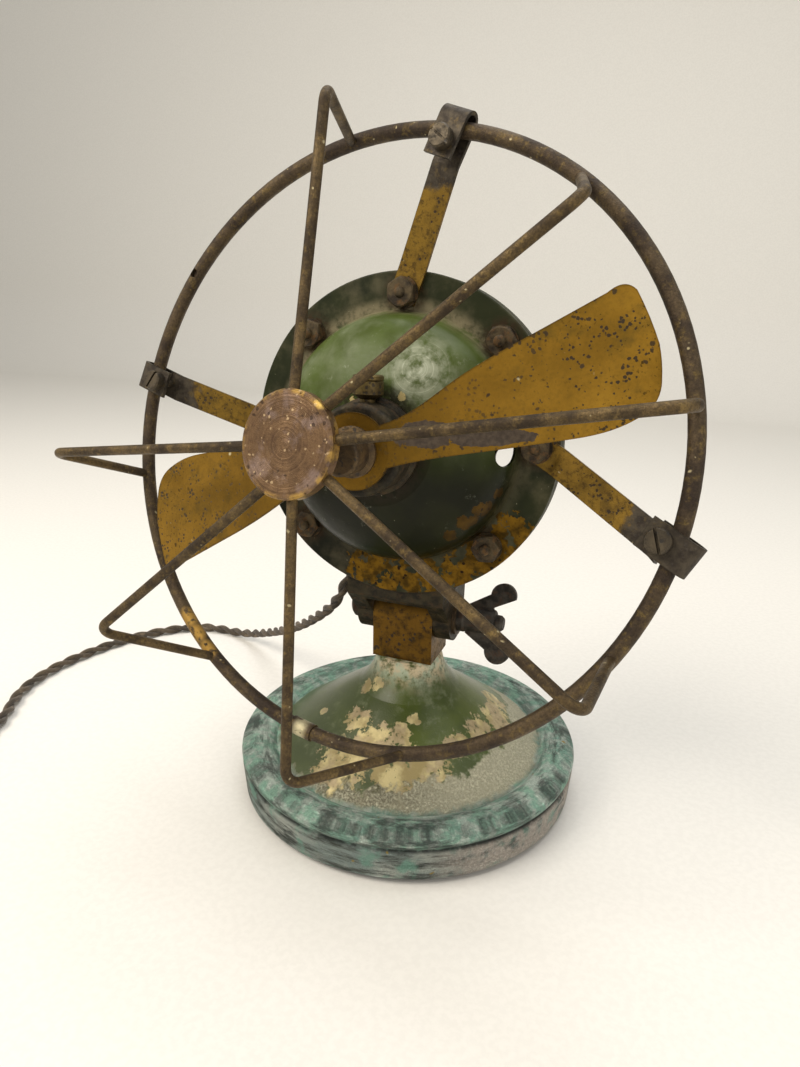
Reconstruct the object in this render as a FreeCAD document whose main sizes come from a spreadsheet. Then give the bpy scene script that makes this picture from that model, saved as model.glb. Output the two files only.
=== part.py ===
"""Two-blade electric desk fan of about 1910 with a nine-inch blade, as a parametric assembly.

World frame: millimetres, +Z up, origin on the table under the middle of the round base. The fan blows
towards -Y. The motor has a frame of its own: origin in the middle of the front flange's face, Z along
the shaft to the front, X to the right seen from behind, Y up. The guard's frame lies in the ring's
plane, askew of the motor as on the real fan.
"""
import FreeCAD, Part
import math
import os
import Sketcher

V = FreeCAD.Vector
WORLD = FreeCAD.Placement()
doc = FreeCAD.newDocument("DeskFan")

# Driving sizes: name, number, what it is. Lengths in millimetres, angles in degrees.
DRIVING = """
base_radius 86.4            base, outside of the bead
base_wall 1.3               spun sheet of the base
skirt_height 18.1           table to the groove under the bead
bead_top 26.6               table to the top of the bead
bead_inner 68.8             radius where the bead meets the cone
neck_radius 16.8            top of the base's cone
neck_height 70              table to the top of the neck
foot_height 3.2             foot pads
foot_radius 6               foot pads
weight_thickness 11         cast ballast in the base
pivot_rise 23               neck top to the tilt pivot
tongue_width 30.8           pivot block, across the fan
tongue_depth 24             pivot block, front to back, and its round top
ear_thickness 8.4           each ear of the yoke
ear_gap 0.2                 ear to pivot block, each side
bolt_radius 4               pivot bolt
bolt_play 0.06              pivot bolt in the block, on the radius
washer_thickness 1.5        clamp washer
wing_barrel 6.3             wing nut's barrel, radius
wing_length 18.4            wing nut's barrel, length
wing_reach 19.5             wing nut's wings, from the bolt's middle
motor_rise 89.5             tilt pivot to the middle of the motor's front flange
motor_lead 20.95            the same, towards the front
motor_tilt 3.84             shaft, nose up
flange_radius 70.75         both flanges of the motor, outside
flange_depth 11.8           front face to back face of the clamped flanges
front_lip 4.5               turned rim of the front housing
rear_lip 6.5                turned rim of the rear housing
housing_wall 1.6            spun sheet of both housings
stud_inset 9.35             rim to the ring of studs
stud_radius 2.4             housing studs
nut_flats 11.3              housing nuts, across flats
nut_height 4                housing nuts
stud_washer 1               washers under the nuts
dome_radius 53.5            front and rear domes
dome_start 3                front face of the flange to the dome's foot
front_dome 29               depth of the front dome, if it went to a point
rear_dome 34                depth of the rear dome, likewise
nose_radius 25              flat nose of the front dome
tail_radius 18              flat end of the rear dome
vent_radius 6               round vents at both sides of the front dome
boss_radius 18.3            front bearing boss
boss_front 46               front flange to the front of the boss
rear_boss_radius 13.5       rear bearing boss
rear_boss_length 11         rear bearing boss behind the dome
bush_radius 7               bearing bushes, outside
shaft_radius 4              shaft
shaft_play 0.05             shaft in its bushes, on the radius
cup_radius 6.1              oil cups
cup_height 11               oil cups
cup_lift 17.6               shaft to the foot of the front oil cup
cup_setback 10.2            front of the boss to the middle of its oil cup
core_pole 30                width of the field poles
core_bore 25.6              radius inside the pole shoes
air_gap 0.6                 armature to pole shoes
armature_length 26          stack of the armature
winding_radius 22           end turns of the armature, outside
commutator_radius 11        commutator
commutator_length 11        commutator
brush_radius 3              carbon brushes
brush_play 0.1              brush in its holder, on the radius
holder_radius 5.5           brush holders
cap_radius 7                brush caps
blade_reach 114.3           blade sweep, radius
blade_plane 48.5            front flange to the blade's middle, at the hub
blade_wall 1.2              blade's sheet
blade_turn 6.9              resting angle of the blade above level
hub_radius 15               flat middle of the blade
tip_gap 10.2                blade sweep to the middle of the guard's wire
wire_radius 3               guard ring's wire
guard_lead 28.3             motor's front flange to the ring's middle
guard_side -1.67            ring's middle, across
guard_drop -0.56            ring's middle, up
guard_tilt 14.15            ring's plane, nose up
guard_yaw -8.02             ring's plane, turned to one side
ferrule_turn 263.3          ferrule over the ring's joint, degrees round the ring
ferrule_span 5              ferrule, degrees of the ring under it
ferrule_wall 0.7            ferrule's sheet
spoke_radius 2              spoke wire
spoke_bend 6                bends of the spokes
cage_depth 46               ring to the plane of the spokes
disc_radius 19.6            guard's middle disc
disc_thickness 5            guard's middle disc
disc_side -3.7              disc's middle, across
disc_drop -3.8              disc's middle, up
strap_width 12              guard straps
strap_wall 1.5              guard straps
strap_slack 3.2             how far a strap's loop stands outside the wire
loop_play 0.3               strap's loop over the wire
screw_gap 2.6               ring's wire to the middle of a clamp screw
screw_head 4.5              clamp screws' heads, radius
screw_rise 4.2              clamp screws' heads, height
cord_radius 3               twisted pair, outside
"""


class Size:
    """A number from the sheet, or arithmetic on such numbers, with the expression that gives it."""

    def __init__(self, number, text=None):
        self.number = float(number)
        self.text = text or f"({self.number!r})"

    def joined(self, sign, other, number):
        return Size(number, f"({self.text} {sign} {other.text})")

    def __add__(self, other):
        other = as_size(other)
        return self.joined("+", other, self.number + other.number)

    def __sub__(self, other):
        other = as_size(other)
        return self.joined("-", other, self.number - other.number)

    def __mul__(self, other):
        other = as_size(other)
        return self.joined("*", other, self.number * other.number)

    def __truediv__(self, other):
        other = as_size(other)
        return self.joined("/", other, self.number / other.number)

    def __radd__(self, other):
        return as_size(other) + self

    def __rsub__(self, other):
        return as_size(other) - self

    def __rmul__(self, other):
        return as_size(other) * self

    def __neg__(self):
        return as_size(0) - self

    def __float__(self):
        return self.number


def as_size(value):
    return value if isinstance(value, Size) else Size(value)


class Sizes:
    """The spreadsheet's named cells, one attribute each."""

    def __init__(self):
        sheet = doc.addObject("Spreadsheet::Sheet", "Sizes")
        for row, line in enumerate(DRIVING.strip().splitlines(), start=1):
            name, number, note = line.split(None, 2)
            sheet.set(f"A{row}", note)
            sheet.set(f"B{row}", number)
            sheet.setAlias(f"B{row}", name)
            setattr(self, name, Size(number, f"Sizes.{name}"))


S = Sizes()
doc.recompute()
nodes = {}


# Small tools -------------------------------------------------------------------------------------

def bind(thing, prop, value):
    """Set a property, by expression where the value comes from the sheet."""
    if "Sizes." in as_size(value).text:
        thing.setExpression(prop, value.text)
    else:
        setattr(thing, prop, float(value))


def place(x=0, y=0, z=0, axis=(0, 0, 1), turn=0):
    """A placement: moved by x, y, z, turned in degrees about the axis."""
    return FreeCAD.Placement(V(float(x), float(y), float(z)), FreeCAD.Rotation(V(*axis), float(turn)))


def node(name, thing, frame=WORLD):
    """Register a finished sub-part under its own name, standing in the given frame."""
    thing.Label = name
    thing.Placement = frame.multiply(thing.Placement)
    nodes[name] = thing
    return thing


def new_body(name):
    return doc.addObject("PartDesign::Body", name + "_body")


def draw(body, plane, outline):
    """A closed sketch on one of the body's own planes. The outline is a list of corners (x, y); a third
    entry, "by", marks a point that an arc passes through on its way to the next corner."""
    sketch = body.newObject("Sketcher::SketchObject", body.Name + "_outline")
    origin = [f for f in body.Origin.OriginFeatures if f.Role == plane][0]
    sketch.AttachmentSupport = [(origin, "")]
    sketch.MapMode = "FlatFace"
    corners = [i for i, p in enumerate(outline) if len(p) == 2]
    ends = []
    for i, start in enumerate(corners):
        stop = corners[(i + 1) % len(corners)]
        a, b = point(outline[start]), point(outline[stop])
        if (start + 1) % len(outline) == stop:
            edge = sketch.addGeometry(Part.LineSegment(a, b))
            first, last = 1, 2
        else:
            middle = outline[start + 1]
            anticlockwise = (point(middle) - a).cross(b - a).z > 0
            arc = Part.Arc(a, point(middle), b) if anticlockwise else Part.Arc(b, point(middle), a)
            edge = sketch.addGeometry(arc)
            through = sketch.addGeometry(Part.Point(point(middle)), True)
            fix(sketch, through, 1, middle)
            sketch.addConstraint(Sketcher.Constraint("PointOnObject", through, 1, edge))
            first, last = (1, 2) if anticlockwise else (2, 1)
        ends.append((edge, first, last))
    for i, (edge, first, _) in enumerate(ends):
        before, _, last = ends[i - 1]
        fix(sketch, edge, first, outline[corners[i]])
        sketch.addConstraint(Sketcher.Constraint("Coincident", before, last, edge, first))
    return sketch


def point(corner):
    return V(float(corner[0]), float(corner[1]), 0)


def fix(sketch, edge, end, corner):
    """Hold one end of a sketch line at its corner's two coordinates."""
    for kind, axis, value in (("DistanceX", -2, corner[0]), ("DistanceY", -1, corner[1])):
        if abs(float(value)) < 1e-9:
            sketch.addConstraint(Sketcher.Constraint("PointOnObject", edge, end, axis))
            continue
        held = sketch.addConstraint(Sketcher.Constraint(kind, -1, 1, edge, end, float(value)))
        if "Sizes." in as_size(value).text:
            sketch.setExpression(f"Constraints[{held}]", value.text)


def turned(name, outline):
    """A body turned about its own Z axis from an outline of (radius, height)."""
    body = new_body(name)
    turn = body.newObject("PartDesign::Revolution", name + "_turn")
    turn.Profile = draw(body, "XZ_Plane", outline)
    turn.ReferenceAxis = (turn.Profile[0], ["V_Axis"])
    turn.Angle = 360
    return body


def padded(name, plane, outline, length):
    """A body padded to both sides of one of its planes, length in all."""
    body = new_body(name)
    pad = body.newObject("PartDesign::Pad", name + "_pad")
    pad.Profile = draw(body, plane, outline)
    pad.SideType = "Symmetric"
    bind(pad, "Length", length)
    return body


def ring(name, inner, outer, low, high):
    """A turned tube, washer or bush."""
    return turned(name, [(inner, low), (outer, low), (outer, high), (inner, high)])


def rod(name, radius, length, where=WORLD):
    """A round bar along Z from where it is placed."""
    bar = doc.addObject("Part::Cylinder", name)
    bind(bar, "Radius", radius)
    bind(bar, "Height", length)
    bar.Placement = where
    return bar


def block(name, width, depth, height, where=WORLD):
    """A square bar centred on Z, standing on where it is placed."""
    bar = doc.addObject("Part::Box", name)
    for prop, value in (("Length", width), ("Width", depth), ("Height", height)):
        bind(bar, prop, value)
    bar.Placement = where.multiply(place(-float(width) / 2, -float(depth) / 2))
    return bar


def cut(name, base, *tools):
    made = doc.addObject("Part::Cut", name + "_cut")
    made.Base = base
    made.Tool = tools[0] if len(tools) == 1 else fused(name + "_tools", *tools)
    return made


def fused(name, *parts):
    made = doc.addObject("Part::MultiFuse", name + "_fused")
    made.Shapes = list(parts)
    return made


def copies(name, thing, places):
    """One thing at several places, as a group of separate solids."""
    links = []
    for i, where in enumerate(places):
        link = doc.addObject("App::Link", f"{name}_{i + 1}")
        link.LinkedObject = thing
        link.LinkTransform = False
        link.Placement = where
        links.append(link)
    group = doc.addObject("Part::Compound", name + "_group")
    group.Links = links
    return group


def hexagon(name, flats, height, bore=None):
    """A hexagonal nut or bolt head standing on its frame's XY plane, its top corners chamfered."""
    body = new_body(name)
    reach = flats / math.sqrt(3)
    corners = [(reach * math.cos(math.radians(60 * k)), reach * math.sin(math.radians(60 * k)))
               for k in range(6)]
    pad = body.newObject("PartDesign::Pad", name + "_pad")
    pad.Profile = draw(body, "XY_Plane", corners)
    bind(pad, "Length", height)
    body.Tip = pad
    doc.recompute()
    chamfer = body.newObject("PartDesign::Groove", name + "_chamfer")
    drop = flats * 0.06
    chamfer.Profile = draw(body, "XZ_Plane", [(flats * 0.475, height), (reach + 1, height),
                                              (reach + 1, height - drop * 2.5),
                                              (reach, height - drop * 1.6)])
    chamfer.ReferenceAxis = (chamfer.Profile[0], ["V_Axis"])
    chamfer.Angle = 360
    if bore is None:
        return body
    return cut(name, body, rod(name + "_bore", bore, height * 3, place(z=-height)))


def solid(name, shape, frame=WORLD):
    """A sub-part shaped by hand from the sheet's sizes, as one clean solid."""
    made = doc.addObject("Part::Feature", name)
    made.Shape = shape.removeSplitter()
    made.Label = name
    made.Placement = frame
    nodes[name] = made
    return made


def bent_path(points, radii):
    """Straight runs through the points, joined by tangent arcs of the given radii at the inner ones."""
    edges = []
    start = points[0]
    for before, corner, after, radius in zip(points, points[1:], points[2:], radii):
        back, on = (before - corner).normalize(), (after - corner).normalize()
        half = (math.pi - back.getAngle(on)) / 2
        reach = radius * math.tan(half)
        first, last = corner + back * reach, corner + on * reach
        middle = corner + (back + on).normalize() * (radius / math.cos(half) - radius)
        edges += [Part.LineSegment(start, first).toShape(), Part.Arc(first, middle, last).toShape()]
        start = last
    edges.append(Part.LineSegment(start, points[-1]).toShape())
    return Part.Wire(edges)


def tube(points, radii, radius):
    """A round wire or cord of the given radius along a bent path."""
    path = bent_path(points, radii)
    along = (points[1] - points[0]).normalize()
    section = Part.Wire([Part.Circle(points[0], along, float(radius)).toShape()])
    return path, path.makePipeShell([section], True, True)


# The frames --------------------------------------------------------------------------------------

pivot_height = S.neck_height + S.pivot_rise
PIVOT = place(z=pivot_height)
MOTOR = place(0, -S.motor_lead, pivot_height + S.motor_rise, (1, 0, 0), 90 - S.motor_tilt)
guard_middle = MOTOR.multVec(V(float(S.guard_side), float(S.guard_drop), float(S.guard_lead)))
GUARD = FreeCAD.Placement(
    guard_middle,
    FreeCAD.Rotation(V(0, 0, 1), float(S.guard_yaw)).multiply(
        FreeCAD.Rotation(V(1, 0, 0), 90 - float(S.guard_tilt))))
pivot_in_motor = MOTOR.inverse().multVec(PIVOT.Base)


def spaced(count, radius, height=0, start=0, step=None):
    """Places round the Z axis, each turned to its own angle."""
    step = 360 / count if step is None else step
    return [place(turn=start + step * k).multiply(place(float(radius), 0, height)) for k in range(count)]


# Base --------------------------------------------------------------------------------------------

def make_base():
    wall = S.base_wall
    foot = S.foot_height
    weight_low = foot + 2.6
    cone_low = S.bead_top - 4.4
    cone_start = S.neck_radius + 9
    flare = S.neck_height - 17
    outside = [
        (S.base_radius - 1.3, foot),
        (S.base_radius - 0.2, S.skirt_height - 1.6),
        (S.base_radius - 1.6, S.skirt_height),
        (S.base_radius - 1.0, S.skirt_height + 0.9),
        (S.base_radius, S.skirt_height + 2.6, "by"),
        (S.base_radius - 2.2, S.bead_top - 2.2),
        (S.base_radius - 8.4, S.bead_top, "by"),
        (S.bead_inner, cone_low),
        (cone_start, flare),
        (S.neck_radius + 3.2, flare + 7.2, "by"),
        (S.neck_radius, S.neck_height - 1.5),
        (S.neck_radius - 1.5, S.neck_height),
    ]
    bore = S.bolt_radius + 1.3
    inside = [
        (bore, S.neck_height),
        (bore, S.neck_height - wall),
        (S.neck_radius - wall - 0.6, S.neck_height - wall),
        (S.neck_radius + 3.2 - wall, flare + 7.2 - wall, "by"),
        (cone_start - wall, flare - wall),
        (S.bead_inner + 0.6, cone_low - wall * 1.3),
        (S.base_radius - 8.4, S.bead_top - wall * 1.3, "by"),
        (S.base_radius - 2.2 - wall, S.bead_top - 2.2 - wall),
        (S.base_radius - 1.0 - wall, S.skirt_height + 0.9),
        (S.base_radius - 1.6 - wall, S.skirt_height),
        (S.base_radius - 0.2 - wall, S.skirt_height - 1.6),
        (S.base_radius - 1.3 - wall, foot),
    ]
    node("base_shell", turned("base_shell", outside + inside))

    stud = S.bolt_radius + 1
    post = S.neck_radius - wall - 2.2
    pocket = stud + 11
    nut_room = 8
    weight_high = weight_low + S.weight_thickness
    rim = S.bead_inner - 4
    screw = S.stud_radius - 0.4
    screw_ring = rim - 9
    weight = turned("base_weight", [
        (stud + 0.3, weight_low + nut_room),
        (pocket, weight_low + nut_room),
        (pocket, weight_low),
        (rim, weight_low),
        (rim, weight_high - 2),
        (rim - 4, weight_high),
        (post + 13, weight_high + 3),
        (post, weight_high + 16),
        (post, flare + 1),
        (post - 3, S.neck_height - wall - 0.1),
        (stud + 0.3, S.neck_height - wall - 0.1),
    ])
    bores = copies("weight_bores", rod("weight_bore", screw + 0.05, 9),
                   spaced(3, screw_ring, weight_low - 1, 30))
    node("base_weight", cut("base_weight", weight, bores))

    plate = turned("base_plate", [
        (0, foot + 0.4), (S.base_radius - 3.1 - wall, foot + 0.4),
        (S.base_radius - 3.1 - wall, weight_low - 0.1), (0, weight_low - 0.1)])
    holes = copies("plate_holes", rod("plate_hole", screw + 0.2, 9), spaced(3, screw_ring, foot - 2, 30))
    node("base_plate", cut("base_plate", plate, holes))
    head = foot + 0.3
    screws = turned("plate_screw", [
        (0, head - 1.6), (screw + 1.2, head - 1.6), (screw + 1.9, head - 0.9), (screw + 1.9, head),
        (screw, head), (screw, weight_low + 7), (0, weight_low + 7)])
    node("base_plate_screws", copies("base_plate_screws", screws, spaced(3, screw_ring, 0, 30)))
    pad = turned("foot_pad", [
        (0, 0), (S.foot_radius - 0.8, 0), (S.foot_radius, 0.8),
        (S.foot_radius - 0.4, foot + 0.3), (0, foot + 0.3)])
    node("base_feet", copies("base_feet", pad, spaced(3, S.base_radius - S.foot_radius - 4.6, 0, -50.8)))

    depth, width = S.tongue_depth, S.tongue_width
    tongue = padded("neck_block", "YZ_Plane", [
        (-depth / 2, S.neck_height + 0.05), (depth / 2, S.neck_height + 0.05),
        (depth / 2, pivot_height), (0, pivot_height + depth / 2, "by"), (-depth / 2, pivot_height)], width)
    pin = rod("neck_pin_bore", S.bolt_radius + S.bolt_play, width + 4,
              PIVOT.multiply(place(-float(width) / 2 - 2, axis=(0, 1, 0), turn=90)))
    tapped = rod("neck_stud_bore", stud + 0.05, 9, place(z=S.neck_height - 1))
    node("neck_block", cut("neck_block", tongue, pin, tapped))
    node("neck_stud", turned("neck_stud", [
        (0, weight_low + 0.4), (stud - 0.6, weight_low + 0.4), (stud, weight_low + 1),
        (stud, S.neck_height + 7.6), (0, S.neck_height + 7.6)]))
    node("neck_washer", ring("neck_washer", stud + 0.3, stud + 5.6,
                             weight_low + nut_room - 1.3, weight_low + nut_room - 0.05))
    node("neck_nut", hexagon("neck_nut", stud * 2 + 5, 5.2, stud + 0.03),
         place(z=weight_low + nut_room - 6.6))


# Motor -------------------------------------------------------------------------------------------

def ellipse(reach, depth, angle, start):
    """A point of a dome's elliptical section: (radius, height), the angle counted from its foot."""
    return reach * math.cos(math.radians(angle)), start + depth * math.sin(math.radians(angle))


def dome_section(reach, depth, end_radius, start):
    """A dome's section from its foot to where its radius has come down to end_radius, as two arcs."""
    last = math.degrees(math.acos(float(end_radius) / float(reach)))
    rise = as_size(depth) * math.sin(math.radians(last))
    split = last * 0.58
    return [ellipse(reach, depth, 0, start),
            ellipse(reach, depth, split / 2, start) + ("by",),
            ellipse(reach, depth, split, start),
            ellipse(reach, depth, (split + last) / 2, start) + ("by",),
            (end_radius, start + rise)]


def housing(name, face, lip, dome_foot, depth, flat, hole, way):
    """A spun housing: turned rim, flange, dome and a flat with a hole. way is +1 for the front one."""
    wall, rim, dome = S.housing_wall, S.flange_radius, S.dome_radius
    outer = dome_section(dome, depth * way, flat, dome_foot)
    inner = dome_section(dome - wall, (depth - wall) * way, flat - wall, dome_foot)
    inner = [ellipse(dome - wall, (depth - wall) * way, 0, dome_foot)] + inner[1:]
    top = outer[-1][1]
    outline = [
        (rim, face - lip * way), (rim, face - way * 0.9), (rim - 0.25, face - way * 0.25, "by"),
        (rim - 0.9, face), (dome + 1.4, face)] + outer + [
        (hole, top), (hole, top - wall * way)] + inner[::-1] + [
        (dome - wall, face - wall * way), (rim - wall, face - wall * way), (rim - wall, face - lip * way)]
    return turned(name, outline), top


# The studs about the shaft, in degrees: near every eighth of a turn, none at the bottom, over the yoke.
STUD_ANGLES = (90, 45, 1.5, -45, -135, 135, 180)


def stud_places(height):
    return [place(turn=a).multiply(place(float(S.flange_radius - S.stud_inset), 0, float(height)))
            for a in STUD_ANGLES]


def make_housings():
    """Front and rear housing with their vents and stud holes, and the fasteners that clamp them."""
    wall, depth = S.housing_wall, S.flange_depth
    back = -depth
    spigot = S.bush_radius + 5.2
    front, nose = housing("front_housing", as_size(0), S.front_lip, S.dome_start, S.front_dome,
                          S.nose_radius, spigot, 1)
    holes = copies("front_stud_holes", rod("front_stud_hole", S.stud_radius + 0.15, 6), stud_places(-4))
    vents = []
    for side in (0, 180):
        lean = place(turn=side).multiply(place(float(S.dome_radius) - 5, 0, 8, (0, 1, 0), 38))
        vents.append(rod(f"front_vent_{side}", S.vent_radius, 16, lean.multiply(place(z=-6))))
    node("front_housing", cut("front_housing", front, holes, *vents), MOTOR)

    rear, tail = housing("rear_housing", back, S.rear_lip, back - 2.2, S.rear_dome, S.tail_radius,
                         spigot, -1)
    holes = copies("rear_stud_holes", rod("rear_stud_hole", S.stud_radius + 0.15, 6),
                   stud_places(-float(depth) - 2))
    openings = []
    for side in (0, 180):
        for lean in (-13, 0, 13):
            spot = place(turn=side + lean).multiply(place(float(S.dome_radius) - 11.5, 0, float(tail)))
            openings.append(rod(f"rear_vent_{side}_{lean + 13}", S.vent_radius, 34, spot))
    sockets = [rod(f"brush_hole_{a}", S.holder_radius + 0.1, S.dome_radius + 10, brush_frame(a))
               for a in BRUSH_ANGLES]
    gland = rod("gland_hole", 3.6, 20, gland_frame().multiply(place(z=-10)))
    node("rear_housing", cut("rear_housing", rear, holes, *openings, *sockets, gland), MOTOR)

    washer_low = as_size(0.05)
    nut_low = washer_low + S.stud_washer
    strapped = [stud_angle for stud_angle, _ in STRAPS.values()]
    under = S.strap_wall + 0.05
    lift = [float(under) if a in strapped else 0 for a in STUD_ANGLES]
    on_flange = [p.multiply(place(z=rise)) for p, rise in zip(stud_places(0), lift)]
    flat_washer = ring("flat_washer", S.stud_radius + 0.1, S.nut_flats / 2 + 0.9, washer_low,
                       nut_low - 0.02)
    node("housing_washers", copies("housing_washers", flat_washer, on_flange), MOTOR)
    nut = hexagon("housing_nut", S.nut_flats, S.nut_height, S.stud_radius + 0.02)
    seats = [p.multiply(place(z=float(nut_low), turn=17 * k)) for k, p in enumerate(on_flange)]
    node("housing_nuts", copies("housing_nuts", nut, seats), MOTOR)
    end = nut_low + S.nut_height + under
    stud = turned("housing_stud", [
        (0, back - 3), (S.stud_radius + 1.8, back - 3), (S.stud_radius + 1.8, back - 0.05),
        (S.stud_radius, back - 0.05), (S.stud_radius, end), (S.stud_radius * 0.72, end + 1, "by"),
        (S.stud_radius * 0.2, end + 1.5), (0, end + 1.5)])
    node("housing_studs", copies("housing_studs", stud, stud_places(0)), MOTOR)
    return nose, tail


BRUSH_ANGLES = (135, 315)


def commutator_middle():
    return -S.flange_depth / 2 - S.armature_length / 2 - 14.5


def brush_frame(angle):
    """A frame whose Z runs out from the shaft through the commutator's middle."""
    return place(z=commutator_middle(), turn=angle).multiply(place(axis=(0, 1, 0), turn=90))


def gland_frame():
    """A frame on the rear dome's lower left, its Z the way the cord leaves."""
    behind = 16
    reach = float(S.dome_radius) * math.sqrt(1 - (behind / float(S.rear_dome)) ** 2)
    spot = place(z=-float(S.flange_depth) - 2.2 - behind, turn=245)
    return spot.multiply(place(axis=(0, 1, 0), turn=90)).multiply(place(z=reach))


def make_bearings(nose, tail):
    """Bosses, bushes and oil cups of both bearings."""
    boss, bush = S.boss_radius, S.bush_radius
    front = S.boss_front
    grip = S.shaft_radius + S.shaft_play
    spigot = bush + 5.1
    body = turned("front_bearing_boss", [
        (bush, nose - 4), (spigot, nose - 4), (spigot, nose + 0.03), (boss + 1.7, nose + 0.03),
        (boss + 1.7, nose + 2), (boss, nose + 3.4), (boss, front - 2), (boss - 0.6, front - 0.6, "by"),
        (boss - 2, front), (bush, front)])
    lift = float(S.cup_lift)
    cup_at = front - S.cup_setback
    oil = rod("front_oil_way", 1.3, 30, place(0, 0, cup_at, (1, 0, 0), -90))
    saddle = rod("front_cup_seat", 3.05, 30, place(0, lift - 4.6, cup_at, (1, 0, 0), -90))
    node("front_bearing_boss", cut("front_bearing_boss", body, oil, saddle), MOTOR)
    node("front_bush", ring("front_bush", grip, bush, nose - 4.6, front - 0.4), MOTOR)
    rear_boss, length = S.rear_boss_radius, S.rear_boss_length
    end = tail - length
    body = turned("rear_bearing_boss", [
        (bush, tail + 4), (spigot, tail + 4), (spigot, tail - 0.03), (rear_boss + 3, tail - 0.03),
        (rear_boss + 3, tail - 2), (rear_boss, tail - 3.4), (rear_boss, end + 1.5),
        (rear_boss - 0.5, end + 0.5, "by"), (rear_boss - 1.5, end), (0, end), (0, end + 2),
        (bush, end + 2)])
    oil = rod("rear_oil_way", 1.3, 30, place(0, 0, tail - 6.5, (1, 0, 0), -90))
    reach = float(rear_boss) + 2
    saddle = rod("rear_cup_seat", 3.05, 30, place(0, reach - 4.6, tail - 6.5, (1, 0, 0), -90))
    node("rear_bearing_boss", cut("rear_bearing_boss", body, oil, saddle), MOTOR)
    node("rear_bush", ring("rear_bush", grip, bush, end + 2.5, tail + 4.6), MOTOR)
    radius, high = S.cup_radius, S.cup_height
    cup = turned("oil_cup", [
        (0, -4.5), (3, -4.5), (3, 1.6), (radius - 0.8, 3), (radius, 3.6), (radius, high - 2.6),
        (radius - 0.4, high - 2.2), (radius, high - 1.8), (radius, high - 0.5), (radius - 0.6, high),
        (0, high)])
    seats = [place(0, lift, cup_at, (1, 0, 0), -90), place(0, reach, tail - 6.5, (1, 0, 0), -90)]
    node("oil_cups", copies("oil_cups", cup, seats), MOTOR)
    return end


def make_field():
    """Laminated field ring with two poles, clamped between the flanges, and its two coils."""
    wall = S.housing_wall
    high, low = -wall - 0.05, -S.flange_depth + wall + 0.05
    middle = (high + low) / 2
    rim = S.flange_radius - wall - 0.2
    yoke_inner = S.dome_radius + 0.5
    bore = S.core_bore
    stack = high - low
    band = ring("field_ring", yoke_inner, rim, low, high)
    poles = padded("field_poles", "XZ_Plane", [
        (-S.core_pole / 2, low), (S.core_pole / 2, low), (S.core_pole / 2, high), (-S.core_pole / 2, high)],
        yoke_inner * 2 + 4)
    shoe = ring("pole_shoe_ring", bore, bore + 5, middle - S.armature_length / 2,
                middle + S.armature_length / 2)
    sides = [block(f"shoe_gap_{side}", 34, 30, 60, place(32 * side, 0, middle - 30)) for side in (-1, 1)]
    shoes = cut("pole_shoes", shoe, *sides)
    core = fused("field_core_parts", band, poles, shoes)
    bore_cut = rod("field_bore", bore, stack + 40, place(z=low - 20))
    holes = copies("field_stud_holes", rod("field_stud_hole", S.stud_radius + 0.1, stack + 2),
                   stud_places(float(low) - 1))
    node("field_core", cut("field_core", core, bore_cut, holes), MOTOR)

    wide, thick = S.core_pole / 2 + 6, 8
    coil_low, coil_high = bore + 6, yoke_inner - 10.5
    coils = []
    for side, way in (("upper", 1), ("lower", -1)):
        height = coil_high - coil_low
        start = coil_low if way > 0 else -coil_high
        outer = block(f"coil_{side}", wide * 2, stack + thick * 2, height,
                      place(0, start, middle, (1, 0, 0), -90))
        inner = block(f"coil_window_{side}", S.core_pole + 0.6, stack + 0.6, height + 4,
                      place(0, start - 2, middle, (1, 0, 0), -90))
        coils.append(cut(f"coil_{side}", outer, inner))
    group = doc.addObject("Part::Compound", "field_coils_group")
    group.Links = coils
    node("field_coils", group, MOTOR)
    return middle


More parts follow.
